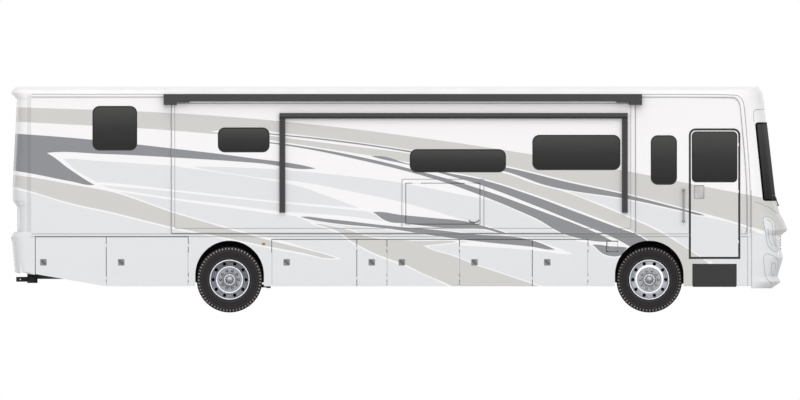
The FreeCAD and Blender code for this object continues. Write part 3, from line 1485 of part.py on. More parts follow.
# Engine at the tail, gearbox and shaft to the rear axle, and the fuel tank behind the front axle
engine_rear = rail_rear + d.engine_setback
engine_front = engine_rear + d.engine_long
shaft_rear = engine_front + d.gearbox_long
shaft_front = rear_axle_x - d.pinion_reach - d.flange_thick
engine_half = frame_out - d.frame_flange - d.engine_side_gap
mount_half = frame_out - d.frame_flange
engine = block("engine_block", engine_rear, engine_front, -engine_half, engine_half, d.engine_foot,
               floor_foot - d.engine_top_gap)
mounts = [block(f"engine_mount_{n}", x, x + d.engine_mount_wide, -mount_half, mount_half, frame_foot,
                frame_foot + d.engine_mount_high)
          for n, x in enumerate((engine_rear + d.engine_mount_wide * 2,
                                 engine_front - d.engine_mount_wide * 3), 1)]
node(group("powertrain", fuse("engine", engine, *mounts),
           rod("gearbox", "x", (engine_front, 0, d.gearbox_height), d.gearbox_radius, d.gearbox_long),
           rod("shaft", "x", (shaft_rear, 0, axle_z + d.shaft_rise), d.shaft_radius,
               shaft_front - shaft_rear),
           rod("shaft_flange", "x", (shaft_front, 0, axle_z + d.shaft_rise - d.flange_drop), d.flange_radius,
               d.flange_thick)), "engine_and_shaft")
node(block("tank", bay_edges[-1] + d.tank_gap, front_axle_x - d.well_half - d.tank_gap, -d.tank_half,
           d.tank_half, d.tank_foot, frame_foot), "fuel_tank")

# Slide-out room: flanged face, floor, ceiling and end walls, open to the inside
face_back = -(side + d.slide_stand)
face_out = face_back - d.slide_flange
box_rear = slide_rear + d.slide_lap + d.slide_gap
box_front = slide_front - d.slide_lap - d.slide_gap
box_foot = slide_foot + d.slide_lap + d.slide_gap
box_head = slide_head - d.slide_lap - d.slide_gap
room_in = face_out + d.slide_depth
face_in = face_out + d.slide_wall
hatch_rear = tail + d.hatch_setback
hatch_front = hatch_rear + d.hatch_wide


def slide_rect(inset=0):
    """Section of the slide-out room, inset evenly."""
    return rect(box_rear + inset, box_front - inset, box_foot + inset, box_head - inset)


def hatch_rect(inset=0):
    """Outline of the service hatch, inset evenly."""
    return rect(hatch_rear + inset, hatch_front - inset, d.hatch_foot + inset, hatch_head - inset)


hatch_hole = hatch_rect(d.hatch_frame)
slide_holes = [opening(2), opening(3), opening(4), hatch_hole]
flange = upright("slide_flange", face_out, face_back, rect(slide_rear, slide_front, slide_foot, slide_head),
                 *slide_holes)
face_core = upright("slide_face", face_back, face_in, slide_rect(), *slide_holes)
sleeve = upright("slide_sleeve", face_in, room_in, slide_rect(), slide_rect(d.slide_wall))
hatch_rim = upright("hatch_rim", face_out - d.hatch_stand, face_out, hatch_rect(), hatch_hole)
hatch_back = face_in + d.hatch_depth
hatch_tray = upright("hatch_tray", face_in, hatch_back, hatch_rect(d.hatch_frame - d.hatch_wall))
hatch_room = upright("hatch_room", face_in - 1, hatch_back - d.hatch_wall, hatch_hole)
shoe_stations = (box_rear + d.slide_shoe_inset, (box_rear + box_front) / 2,
                 box_front - d.slide_shoe_inset - d.slide_shoe_long)
shoes = [block(f"slide_shoe_{n}", x, x + d.slide_shoe_long, room_in - d.slide_shoe_deep, room_in,
               d.floor_top + d.seat_gap, box_foot + d.weld_lap) for n, x in enumerate(shoe_stations, 1)]
hatch_axis = (face_out - d.hatch_stand, hatch_head - d.hatch_frame - d.hatch_gap / 2)
leaf = d.hatch_gap / 2 + d.hinge_leaf
hatch_arms = []
hatch_leaves = []
for n, x in enumerate((hatch_rear + d.hatch_hinge_inset,
                       hatch_front - d.hatch_hinge_inset - 3 * d.hinge_barrel), 1):
    fixed, moving = hinge(f"hatch_hinge_{n}", "x", (x, *hatch_axis),
                          ((size(0), d.hinge_arm), (size(0), leaf)),
                          ((size(0), d.hinge_arm), (-leaf, size(0))))
    hatch_arms += fixed
    hatch_leaves += moving
node(fuse("slide_shape", *hatch_arms, flange, face_core, sleeve, hatch_rim,
          cut("hatch_box", hatch_tray, hatch_room), *shoes), "slide_room")
node(group("slide_glass", *[upright(f"slide_glass_{n}", face_out, face_out + d.glass_thick,
                                    opening(n, d.glass_gap)) for n in (2, 3, 4)]), "slide_windows")

# Service hatch in the slide-out's face, hinged along its top edge
hatch_face = face_out - d.hatch_stand
hatch_lid = upright("hatch_lid", hatch_face, hatch_face + d.hatch_thick,
                    hatch_rect(d.hatch_frame + d.hatch_gap))
node(fuse("hatch_all", hatch_lid, *hatch_leaves), "service_hatch")

# Awning over the slide-out: a roller housing with stepped end brackets
topper_rear = slide_rear - d.topper_rear_over
topper_front = slide_front + d.topper_front_over
topper_top = d.roof_height - d.topper_drop
topper_back = face_out - d.seat_gap
topper_out = topper_back - d.topper_deep
topper_parts = [upright("topper_tube", topper_out, topper_back,
                        rect(topper_rear, topper_front, topper_top - d.topper_high, topper_top))]
for n, (end, sign) in enumerate(((topper_rear, 1), (topper_front, -1)), 1):
    foot = topper_top - d.bracket_high
    mid = topper_top - d.bracket_step_high
    topper_parts.append(upright(f"topper_bracket_{n}", topper_out - d.bracket_stand, topper_back, [
        (end, foot), (end + d.topper_end * sign, foot), (end + d.topper_end * sign, mid),
        (end + d.topper_step * sign, mid), (end + d.topper_step * sign, topper_top), (end, topper_top)]))
node(fuse("topper", *topper_parts), "slide_topper")

# Patio awning on the slide-out's face: roller tube and two folded arms, grooved down their length
awning_rear = tail + d.awning_setback
awning_front = awning_rear + d.awning_wide
awning_top = d.roof_height - d.awning_drop
awning_out = face_out - d.awning_arm_deep
awning_parts = [rod("awning_roller", "x", (awning_rear, face_out - d.awning_tube - d.seat_gap,
                                           awning_top - d.awning_tube), d.awning_tube, d.awning_wide)]
for n, x in enumerate((awning_rear, awning_front - d.awning_arm), 1):
    arm = block(f"awning_arm_{n}", x, x + d.awning_arm, awning_out, face_out, d.awning_foot, awning_top)
    groove_x = x + (d.awning_arm - d.awning_groove) / 2
    groove = block(f"awning_groove_{n}", groove_x, groove_x + d.awning_groove, awning_out - 1,
                   awning_out + d.awning_groove_deep, d.awning_foot + d.awning_groove,
                   awning_top - d.awning_tube * 2 - d.awning_groove)
    awning_parts.append(cut(f"awning_arm_{n}_grooved", arm, groove))
node(fuse("awning", *awning_parts), "patio_awning")

# Entry door: a fixed frame, and the slab with its window and latch
entry_face = side + d.entry_stand
entry_axis = (entry_front - d.entry_frame - d.entry_gap / 2, -entry_face)
leaf = d.entry_gap / 2 + d.hinge_leaf
entry_arms = []
entry_leaves = []
for n, z in enumerate((d.entry_foot + d.entry_hinge_low, d.entry_foot + d.entry_hinge_mid,
                       entry_head - d.entry_hinge_drop), 1):
    fixed, moving = hinge(f"entry_hinge_{n}", "z", (*entry_axis, z), ((size(0), leaf), arm_out),
                          ((-leaf, size(0)), arm_out))
    entry_arms += fixed
    entry_leaves += moving
frame_ring = upright("entry_frame_ring", -entry_face, -wall_in, doorway(), doorway(d.entry_frame))
node(fuse("entry_frame_all", frame_ring, *entry_arms), "entry_frame")
slab_in = d.entry_frame + d.entry_gap
pane_in = slab_in + d.entry_glass_margin
pane_corner = d.entry_corner - slab_in - d.entry_gap


def entry_glass(extra=0):
    """Outline of the entry door's window."""
    rear = entry_rear + pane_in + extra
    front = entry_front - pane_in - extra
    foot = d.entry_glass_foot + extra
    head = entry_head - pane_in - extra
    return [(rear, foot, d.entry_glass_corner), (front, foot, d.entry_glass_corner),
            (front, head, pane_corner), (rear, head, pane_corner)]


slab = upright("entry_slab", -entry_face, -(entry_face - d.door_thick), doorway(slab_in), entry_glass())
slab = flush_latch("entry_latch", slab, -1, entry_face, entry_rear + d.entry_latch_setback,
                   d.entry_latch_height, d.entry_latch_wide, d.entry_latch_high)
node(fuse("entry_door_all", slab, *entry_leaves), "entry_door")
node(upright("entry_pane", -entry_face, -(entry_face - d.glass_thick), entry_glass(d.glass_gap)),
     "entry_door_window")

# Sliding step: a face, two treads and two cheeks
step_back = -(side - d.step_deep)
step_z = (d.step_foot, d.step_top)
step_parts = [block("step_face", step_rear, step_front, -side, -(side - d.step_face), *step_z)]
for n, z in enumerate((d.step_foot, (d.step_foot + d.step_top) / 2), 1):
    step_parts.append(block(f"step_tread_{n}", step_rear, step_front, -side, step_back, z, z + d.step_tread))
for n, x in enumerate((step_rear, step_front - d.step_cheek), 1):
    step_parts.append(block(f"step_cheek_{n}", x, x + d.step_cheek, -side, step_back, *step_z))
node(fuse("entry_step_shape", *step_parts), "entry_step")

# Fuel flap
flap = block("fuel_flap", fuel_rear + d.panel_gap, fuel_front - d.panel_gap, -side, -(side - d.fuel_thick),
             d.fuel_foot + d.panel_gap, fuel_head - d.panel_gap)
node(fuse("fuel_flap_all", flap, *flap_leaves), "fuel_door")

# Grab handle beside the entry door: a bar between two ball ends on posts
grab_x = tail + d.grab_setback
grab_y = -(side + d.grab_stand)
grab_parts = [rod("grab_bar", "z", (grab_x, grab_y, d.grab_foot + d.grab_ball), d.grab_radius,
                  d.grab_head - d.grab_foot - d.grab_ball * 2)]
for n, z in enumerate((d.grab_foot + d.grab_ball, d.grab_head - d.grab_ball), 1):
    ball = doc.addObject("Part::Sphere", f"grab_ball_{n}")
    bind(ball, "Radius", d.grab_ball)
    for letter, value in zip("xyz", (grab_x, grab_y, z)):
        bind(ball, f"Placement.Base.{letter}", value)
    grab_parts += [ball, rod(f"grab_post_{n}", "y", (grab_x, grab_y, z), d.grab_post, d.grab_stand)]
node(fuse("grab", *grab_parts), "grab_handle")

# Driver's area: dashboard with steering wheel
dash_front = wall_front + d.dash_reach
dash_edge = dash_front - d.dash_deep
dash_half = side - d.dash_side_gap
wheel_x = dash_front - d.wheel_setback
dash_body = upright("dash_body", -dash_half, dash_half,
                    [(dash_front - d.dash_foot_deep, d.floor_top), (dash_front, d.floor_top),
                     (dash_front, d.dash_front_height), (dash_edge, d.dash_height, d.dash_overhang),
                     (dash_edge - d.dash_overhang, d.dash_lip, d.dash_bend)])
column = rod("steering_column", "x", (wheel_x, d.wheel_aside, d.wheel_height), d.column_radius, d.column_long)
wheel_ring = doc.addObject("Part::Torus", "steering_ring")
bind(wheel_ring, "Radius1", d.wheel_ring)
bind(wheel_ring, "Radius2", d.wheel_grip)
wheel_ring.Placement = FreeCAD.Placement(V(), FreeCAD.Rotation(V(0, 1, 0), 90))
for letter, value in zip("xyz", (wheel_x, d.wheel_aside, d.wheel_height)):
    bind(wheel_ring, f"Placement.Base.{letter}", value)
spoke = block("steering_spoke", wheel_x - d.wheel_grip / 2, wheel_x + d.wheel_grip / 2,
              d.wheel_aside - d.wheel_ring, d.wheel_aside + d.wheel_ring,
              d.wheel_height - d.wheel_grip, d.wheel_height + d.wheel_grip)
node(fuse("dash_all", dash_body, column, wheel_ring, spoke), "dashboard")


def seat(name, x, y):
    """One cab seat: pedestal, cushion with a rolled edge, leaning back, headrest and armrests."""
    def shaped(role, half, corners):
        return upright(f"{name}_{role}", y - half, y + half, corners)
    base_x = x + (d.seat_long - d.seat_base_long) / 2
    edge = d.seat_edge
    back_foot = d.seat_top - edge
    lean_x = x - d.back_lean
    rest_foot = d.back_head + d.headrest_gap
    rest_x = lean_x + d.headrest_gap
    arm_foot = d.armrest_high - d.armrest_thick
    parts = [
        block(name + "_base", base_x, base_x + d.seat_base_long, y - d.seat_base_half, y + d.seat_base_half,
              d.floor_top, d.seat_foot + edge),
        shaped("cushion", d.seat_half, [(x, d.seat_foot), (x + d.seat_long, d.seat_foot, edge),
                                        (x + d.seat_long, d.seat_top, edge), (x, d.seat_top)]),
        shaped("back", d.seat_half - d.panel_gap, [
            (x, back_foot), (x + d.back_thick, back_foot), (lean_x + d.back_thick, d.back_head, edge),
            (lean_x, d.back_head, edge)]),
        shaped("neck", d.headrest_half / 2, rect(rest_x + edge / 2, rest_x + edge, d.back_head - edge,
                                                 rest_foot + edge)),
        shaped("headrest", d.headrest_half, rect(rest_x, rest_x + edge * 2, rest_foot,
                                                 rest_foot + d.headrest_high, edge - d.panel_gap))]
    for n, sign in enumerate((-1, 1), 1):
        low, high = ordered((d.seat_half - d.panel_gap * 2) * sign, (d.seat_half + d.armrest_thick) * sign)
        parts.append(upright(f"{name}_armrest_{n}", y + low, y + high, rect(
            x, x + d.armrest_long, arm_foot, d.armrest_high, d.armrest_thick / 3)))
    return fuse(name, *parts)


node(group("seats", seat("passenger_seat", well_rear - d.seat_long - d.seat_front_gap, -d.wheel_aside),
           seat("driver_seat", wall_front - d.seat_driver_setback, d.wheel_aside)), "cockpit_seats")

doc.recompute()
for item in doc.Objects:
    if "Invalid" in item.State or "Error" in item.State:
        raise RuntimeError(f"{item.Name} failed: {item.State}")
os.makedirs("parts", exist_ok=True)
for item in nodes:
    shape = item.Shape
    if shape.isNull() or not shape.isValid():
        raise RuntimeError(f"{item.Label} is not a valid solid")
    shape.exportStep(f"parts/{item.Label}.step")
    box = shape.BoundBox
    print(f"{item.Label}: {len(shape.Solids)} solids, {shape.Volume / 1e9:.4f} m3, "
          f"X {box.XMin:.0f}..{box.XMax:.0f}, Y {box.YMin:.0f}..{box.YMax:.0f}, "
          f"Z {box.ZMin:.0f}..{box.ZMax:.0f}")
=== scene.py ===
# %% [markdown]
# # A 12 metre coach-bodied motorhome
#
# This lesson dresses a motorhome whose construction is already there: its panels, doors, axles and
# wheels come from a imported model, at their real size. What is left is what the eye reads as real:
# paint and its stripes, dark window glass, rubber, polished wheels, lamps and seats. Each piece is a
# surface worked out with numpy, and each finish is a small net of shader nodes.

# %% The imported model
import math

import bmesh
import bpy
import numpy as np
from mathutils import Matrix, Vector
from mathutils.bvhtree import BVHTree


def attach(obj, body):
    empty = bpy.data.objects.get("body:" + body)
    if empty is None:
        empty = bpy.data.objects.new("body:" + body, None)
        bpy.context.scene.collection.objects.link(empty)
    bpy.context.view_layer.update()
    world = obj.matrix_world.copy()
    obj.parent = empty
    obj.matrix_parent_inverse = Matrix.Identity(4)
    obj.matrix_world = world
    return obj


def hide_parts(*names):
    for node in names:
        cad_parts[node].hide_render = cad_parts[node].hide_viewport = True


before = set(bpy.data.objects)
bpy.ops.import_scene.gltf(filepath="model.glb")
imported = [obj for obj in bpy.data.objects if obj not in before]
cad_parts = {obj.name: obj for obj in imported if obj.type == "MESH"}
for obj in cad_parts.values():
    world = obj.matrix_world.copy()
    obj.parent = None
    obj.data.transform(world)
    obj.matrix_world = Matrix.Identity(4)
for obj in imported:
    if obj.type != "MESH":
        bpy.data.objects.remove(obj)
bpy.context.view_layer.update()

# %% [markdown]
# The side view was measured in steps of 15.5 mm. Two small functions turn such a reading into metres,
# so every stripe and fitting below can be checked against a side view of the coach.

# %% Measured places
STEP = 0.0155   # metres to one reading
SIDE = 1.270   # a wall's face, from the middle of the coach
FACE = 1.296   # the slide-out's face
NOSE = 6.0195   # the tip of the nose, ahead of the middle
SIDES = (("right", -1), ("left", 1))
AXLES = {"front": 3.8815, "rear": -2.6235}
AXLE_HEIGHT = 0.510
MIDDLE_READING, GROUND_READING = 398.85, 312.5


def along(reading):
    """Metres forward of the middle of the coach."""
    return (np.asarray(reading, float) - MIDDLE_READING) * STEP


def above(reading):
    """Metres above the ground."""
    return (GROUND_READING - np.asarray(reading, float)) * STEP


print("wheels stand at", along([229.6, 649.3]).round(2))

# %% [markdown]
# Colours are written as on a paint card and turned to the linear values that light uses. One function
# adds a shader node with what feeds it, another starts a material from its real surface values, and a
# third does a sum.

# %% Shader helpers
def linear(code):
    """An sRGB hex colour as linear red, green, blue and alpha."""
    parts = np.array([int(code[i:i + 2], 16) for i in (1, 3, 5)]) / 255
    low, high = parts / 12.92, ((parts + 0.055) / 1.055) ** 2.4
    return (*np.where(parts <= 0.04045, low, high), 1.0)


def add(tree, kind, feeds=(), **settings):
    """Add one node. Feeds are numbers, colours or sockets, by place or by name."""
    node = tree.nodes.new("ShaderNode" + kind)
    for key, value in settings.items():
        setattr(node, key, value)
    for key, value in feeds.items() if isinstance(feeds, dict) else enumerate(feeds):
        if isinstance(value, bpy.types.NodeSocket):
            tree.links.new(value, node.inputs[key])
        else:
            node.inputs[key].default_value = value
    return node


def material(name, feeds):
    """A new material with one Principled surface."""
    made = bpy.data.materials.new(name)
    made.use_nodes = True
    tree = made.node_tree
    tree.nodes.clear()
    surface = add(tree, "BsdfPrincipled", feeds)
    add(tree, "OutputMaterial", [surface.outputs[0]])
    return made, tree, surface


def feed(node, name, socket):
    """Let a socket drive one input of a node."""
    node.id_data.links.new(socket, node.inputs[name])


def calc(operation, *values, **settings):
    """One sum of numbers and sockets, in the tree of its first socket."""
    tree = next(value.id_data for value in values if isinstance(value, bpy.types.NodeSocket))
    return add(tree, "Math", values, operation=operation, **settings).outputs[0]


print("mid grey on the card is", round(float(linear("#808080")[0]), 3), "in light")

# %% [markdown]
# A finish is mostly colour that varies and relief that is very small. The rest of the helpers are short
# names for that: one colour over another, a run of colours, a point's own place, and relief in metres.

# %% Colour and relief helpers
def mix(share, under, over):
    """Paint one colour over another."""
    return add(share.id_data, "MixRGB", [share, under, over]).outputs[0]


def ramp(share, *stops):
    """A run of colours; each stop is a place from 0 to 1 and a hex code."""
    node = add(share.id_data, "ValToRGB", [share])
    elements = node.color_ramp.elements
    for place, code in stops[1:-1]:
        elements.new(place).color = linear(code)
    for number in (0, -1):
        elements[number].position, elements[number].color = stops[number][0], linear(stops[number][1])
    return node.outputs[0]


def place_on(tree):
    """Object coordinates: a point's own place on the coach, in metres."""
    return add(tree, "TexCoord").outputs["Object"]


def parts_of(tree):
    """X, Y and Z of a point's own place."""
    return add(tree, "SeparateXYZ", [place_on(tree)]).outputs


def emboss(surface, height, distance, strength=1.0):
    """Relief: a height of 0 to 1 stands for distance metres."""
    bump = add(surface.id_data, "Bump", {"Strength": strength, "Distance": distance, "Height": height})
    feed(surface, "Normal", bump.outputs[0])


def grain(surface, size, height):
    """Fine relief: noise whose bumps are size metres apart, height metres deep."""
    tree = surface.id_data
    noise = add(tree, "TexNoise", {"Vector": place_on(tree), "Scale": 1 / size, "Detail": 3.0}).outputs[0]
    emboss(surface, noise, height)
    return noise


def dress(made, *names):
    """Give CAD nodes a material."""
    for name in names:
        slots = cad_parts[name].data.materials
        slots.clear()
        slots.append(made)


print("a grain of 4 mm is a noise scale of", 1 / 0.004)

# %% [markdown]
# The walls are fibreglass sheet with automotive clear coat. The stripes are sprayed and masked by hand,
# so each edge is a long smooth curve with a white line left beside it. A shader can do the same: two
# curves over the length give a stripe's upper and lower edge, and a point is inside where it lies
# between them. Because the pattern is read from where a point is on the coach, it runs across walls,
# slide-out and doors in one piece, and travels with a door that opens. Each stripe below has its upper
# edge, its lower edge, and which of its ends come to a point: the start, the tip, both or neither.

# %% The stripes, as edges read off the side view
DARK = {
    "tail_upper": (
        [(5, 133), (31, 134.6), (93, 139.7), (170, 148.1), (245, 157.2), (316, 168.5)],
        [(5, 160), (31, 158), (47, 153), (102, 154), (172, 157.5), (258, 163.2), (316, 168.6)], "tip"),
    "tail_lower": (
        [(5, 150), (36, 148), (47.2, 153), (71, 170), (94.7, 185)],
        [(5, 169.5), (31, 173.6), (71, 181.5), (94.7, 185.1)], "tip"),
    "line_high": (
        [(240, 129.5), (270, 133.2), (330, 139.3), (410, 150.7), (506, 167.3), (569, 182.4), (629, 195.3),
         (681, 208.6), (705, 215.2)],
        [(240, 130.8), (270, 134.5), (330, 141), (409, 152.4), (503, 171), (554, 187.4), (629, 199.4),
         (681, 210.6), (705, 215.4)], "tip"),
    "blade_high": (
        [(371, 156), (410, 164), (447, 172.6), (480, 179.2), (531, 195.1), (569, 209.2), (620, 228.3),
         (635.6, 234), (645.8, 239.7), (655, 245)],
        [(371, 156.2), (410, 165.2), (447, 175.2), (480, 184.9), (531, 204.1), (569, 219.4), (613.9, 237.9),
         (628.8, 245.9), (640, 252), (655, 262)], "start"),
    "blade_low": (
        [(262, 141.2), (300, 146), (351, 154.9), (428, 173.4), (480, 188.8), (531, 207.2), (595, 232.1),
         (613, 241.2)],
        [(262, 142.4), (300, 147.9), (351, 158.1), (428, 177.3), (480, 195.1), (531, 216.2), (580, 238.6),
         (613, 241.4)], "tip"),
    "blade_foot": (
        [(592, 244.6), (610, 246.1), (627, 247.5)],
        [(592, 244.7), (609.7, 256.1), (619.3, 256.1), (627, 247.6)], "both"),
    "lens": (
        [(372.7, 212), (402, 214.9), (428, 217.4), (466, 221.3), (485, 226.4), (507.4, 233.4)],
        [(372.7, 212.1), (391, 222.4), (404, 223.4), (428, 226.4), (453, 228.3), (484, 229.2),
         (507.4, 233.5)], "both"),
    "keel": (
        [(300, 216.8), (326, 218.7), (389, 225.7), (440, 230.2), (480, 234.7), (506, 235.9), (530, 239.8),
         (555.3, 249.5)],
        [(300, 216.9), (326, 222.3), (389, 228.9), (440, 236.6), (480, 241.7), (531, 246.8),
         (555.3, 249.6)], "both"),
}
WARM = {
    "crown": (
        [(5, 106.8), (51, 108.3), (138, 111.3), (219, 116), (330, 126.3), (402, 135.2), (491, 147.9),
         (629, 171.5), (697, 185), (760, 197), (800, 205)],
        [(5, 121.2), (51, 123.6), (138, 128.2), (206, 131.6), (240, 128.2), (285, 133.3), (351, 141.2),
         (410, 149.8), (505, 165.8), (569, 181), (629, 194), (680, 207), (738, 223), (800, 243)], ""),
    "crown_tail": (
        [(128, 127.4), (171, 130.2), (206, 131), (225, 133.8)],
        [(128, 127.6), (171, 130.3), (206, 133.4), (225, 134.8)], ""),
    "middle": (
        [(262, 134.6), (300, 139.6), (351, 146), (410, 153.6), (504, 173), (537, 184.5), (562, 190.9),
         (595, 203.4), (633, 219.4), (659, 231.5), (687.2, 248.6), (699.6, 256.7), (708.3, 262.9)],
        [(262, 138.6), (300, 144.7), (351, 152.6), (410, 162.6), (447, 171.2), (480, 177.9), (531, 193.5),
         (569, 207.2), (620, 226.4), (635.6, 232.8), (645.8, 238.2), (655, 262), (665, 300), (708.3, 340)], ""),
    "low_tail": (
        [(5, 173.8), (31, 177.1), (71, 184.3), (112, 191.9), (132, 198.1), (172, 212.3), (207, 222.6),
         (245, 233.6), (270, 240.4), (300, 247.8), (337, 258.2)],
        [(5, 184.2), (31, 191.4), (71, 203.2), (112, 212.3), (172, 227), (219, 236.6), (270, 246.8),
         (300, 252.4), (337, 258.4)], "tip"),
    "low_middle": (
        [(314, 223.8), (332, 226.2), (350, 230.2), (366, 236), (382, 239), (410, 240.4), (424, 246),
         (434, 250.5), (447, 254), (460, 258.5), (474, 264.5), (492, 270.4), (516, 278.4), (545, 288)],
        [(314, 223.9), (324, 226.5), (336, 230.5), (352, 241.5), (376, 254), (388, 258.6), (408, 266),
         (424, 274), (444, 282.5), (470, 295), (545, 330)], "start"),
    "low_lobe": (
        [(400, 240.6), (424, 240.8), (457, 241.6)],
        [(400, 246), (424, 245.6), (440, 244), (457, 241.8)], "tip"),
}
PALE = {
    "field_high": (
        [(63, 159.3), (97, 160.8), (170, 165.4), (258, 168.3), (330, 174.1), (402, 183), (453, 193.2),
         (500, 203), (531, 217.6), (557, 229.8), (592, 244), (700, 290)],
        [(63, 159.4), (76, 170.5), (92, 179.7), (102, 185.2), (132, 196.6), (172, 211), (245, 232),
         (300, 246.4), (345, 275), (400, 330), (700, 340)], "start"),
    "field_low": (
        [(5, 188), (31, 192.9), (71, 204.6), (112, 213.8), (172, 228.5), (219, 238), (270, 248.2), (310, 256),
         (345, 262), (420, 244.2), (459, 246.6), (520, 250), (574, 254.6), (600, 246), (800, 246)],
        [(5, 340), (800, 340)], ""),
    "field_front": (
        [(562, 191), (595, 195.2), (629, 200.6), (681, 212), (705, 216.8), (738.1, 224.6), (763, 234.5),
         (800, 247)],
        [(562, 191.2), (595, 201.8), (633, 217.8), (659, 229.8), (687, 246.8), (708.3, 261.5), (709.5, 340),
         (800, 340)], "start"),
}
WHITE = {
    "gleam_top": (
        [(172, 164), (207, 169.6), (258, 177.3), (300, 181.7), (351, 191.3), (402, 202.1), (466, 220.4),
         (500, 230)],
        [(172, 165.2), (207, 170.8), (258, 178.6), (300, 186.8), (326, 195.8), (359, 208), (380, 216),
         (500, 231)], "start"),
    "gleam_middle": (
        [(97, 181.7), (130, 184.6), (172, 189.4), (232, 196.2), (277, 201), (330, 205.4), (372, 209)],
        [(97, 184.8), (130, 187.8), (172, 191.6), (232, 198.4), (277, 203), (330, 208), (372, 212)], ""),
    "gleam_low": (
        [(97, 186), (130, 191.4), (172, 197.6), (232, 205), (277, 210.8), (330, 214.6), (351, 216.4),
         (400, 224)],
        [(97, 187.6), (130, 193.6), (172, 200), (232, 208.2), (277, 214.4), (300, 216.5), (351, 221),
         (400, 226)], ""),
    "rim_low_middle": (
        [(300, 216.6), (324, 226), (336, 230.2), (352, 241), (376, 253.4), (408, 265.4), (444, 282),
         (470, 294)],
        [(300, 218), (324, 228), (336, 232.4), (352, 243.2), (376, 255.6), (408, 267.6), (444, 284.2),
         (470, 297)], ""),
    "flash": (
        [(458, 243.4), (528, 238.9), (545, 243.4), (572, 253.4)],
        [(458, 245.6), (528, 250), (545, 252), (572, 253.9)], "tip"),
    "sweep": (
        [(575, 239.4), (613, 241.6), (628, 244), (645, 250)],
        [(575, 240.8), (590, 243.4), (628, 247), (645, 251)], ""),
}
print("stripes:", len(DARK) + len(WARM), "fields:", len(PALE) + len(WHITE))

# %% [markdown]
# A curve node works from 0 to 1 both ways, so the length is measured in spans of 13 m and the height in
# spans of 4 m. A stripe's depth is the least of its distances below the upper edge, above the lower edge
# and inside its cut ends. A pointed end is left to the two edges, which are led on until they cross.

# %% Painting with curves
SPAN, TALL = 13.0, 4.0   # metres of length and of height that a curve's 0 to 1 stands for
REAR_CUT, FRONT_CUT = 10, 790   # readings past which a stripe runs off the coach uncut
LEAD = np.array([12, 6])   # readings by which a pointed end's edges are led on, along and across
EDGE_SLOPE = 1300.0   # paint cover gained over one span of height


def reach_of(reading):
    """Share of the span along the coach: half a span at its middle."""
    return float(along(reading) / SPAN + 0.5)


def edge(reach, points):
    """Height of one stripe edge at each place along the coach, as a curve node."""
    node = add(reach.id_data, "FloatCurve", {"Value": reach})
    curve = node.mapping.curves[0]
    spots = sorted((reach_of(x), float(above(y) / TALL)) for x, y in points)
    while len(curve.points) < len(spots):
        curve.points.new(0.5, 0.5)
    for point, spot in zip(curve.points, spots):
        point.location = spot
    node.mapping.extend = "HORIZONTAL"
    node.mapping.use_clip = False
    node.mapping.update()
    return node.outputs[0]


def inside(reach, height, stripes):
    """How deep a point lies inside the nearest stripe; negative is outside."""
    best = None
    for upper, lower, ends in stripes.values():
        if ends in ("start", "both"):
            upper, lower = [upper[0] + LEAD * (-1, 1), *upper], [lower[0] - LEAD, *lower]
        if ends in ("tip", "both"):
            upper, lower = [*upper, upper[-1] + LEAD], [*lower, lower[-1] + LEAD * (1, -1)]
        start = max(upper[0][0], lower[0][0])
        stop = min(upper[-1][0], lower[-1][0])
        depth = calc("MINIMUM", calc("SUBTRACT", edge(reach, upper), height),
                     calc("SUBTRACT", height, edge(reach, lower)))
        if ends in ("", "tip") and start > REAR_CUT:
            depth = calc("MINIMUM", depth, calc("SUBTRACT", reach, reach_of(start)))
        if ends in ("", "start") and stop < FRONT_CUT:
            depth = calc("MINIMUM", depth, calc("SUBTRACT", reach_of(stop), reach))
        best = depth if best is None else calc("MAXIMUM", best, depth)
    return best


def cover(depth, spread=0.0):
    """Turn a depth into paint cover, 0 to 1 over 3 mm, widened by spread metres."""
    return calc("MULTIPLY", calc("ADD", depth, spread / TALL), EDGE_SLOPE, use_clamp=True)


print("a paint edge is", round(1000 * TALL / EDGE_SLOPE, 1), "mm wide")

# %% [markdown]
# Coach paint: white base, warm grey, dark grey and pale grey stripes under one clear coat. The coat is
# what gives the sharp highlight, and a faint orange peel of 6 mm keeps that highlight from looking like
# glass. A strip 6 cm wide at the joint of wall and tail is painted darker: the joint line with painted
# shade along it.

# %% Body paint
paint, tree, surface = material("coach_paint_clear_coated", {
    "Roughness": 0.4, "Coat Weight": 0.25, "Coat Roughness": 0.08, "Specular IOR Level": 0.25})
x, _, z = parts_of(tree)
reach = calc("MULTIPLY_ADD", x, 1 / SPAN, 0.5)
height = calc("MULTIPLY", z, 1 / TALL)
dark, warm, pale, gleam = (inside(reach, height, stripes) for stripes in (DARK, WARM, PALE, WHITE))
striped = calc("MAXIMUM", dark, warm)
BASE_WHITE = linear("#fbf9fa")
MASKED = 0.018   # metres of white left round a stripe
colour = BASE_WHITE
for share, over in ((cover(pale), linear("#e6e7e9")), (cover(gleam), BASE_WHITE),
                    (cover(striped, MASKED), BASE_WHITE), (cover(warm), linear("#d3d2cf")),
                    (cover(dark), linear("#8e8f93"))):
    colour = mix(share, colour, over)
# Painted shade: a strip 6 cm wide over the joint of wall and tail, 16% darker.
in_length = calc("COMPARE", x, float(along(29.1)), 2 * STEP)
in_height = calc("COMPARE", z, float(above(163.5)), 68.5 * STEP)
joint_shade = calc("MULTIPLY", calc("MULTIPLY", in_length, in_height), 0.16)
feed(surface, "Base Color", mix(joint_shade, colour, linear("#4a4b4d")))
grain(surface, 0.006, 0.00001)
PAINTED = ("wall_right", "wall_left", "skirt", "bay_door", "rear_cap", "rear_bumper", "slide_room", "entry_door",
           "service_hatch", "engine_door", "fuel_door", "front_cap")
BODY = [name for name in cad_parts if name.startswith(PAINTED) and name != "entry_door_window"]
dress(paint, *BODY)
print("painted panels:", len(BODY), "shader nodes:", len(tree.nodes))

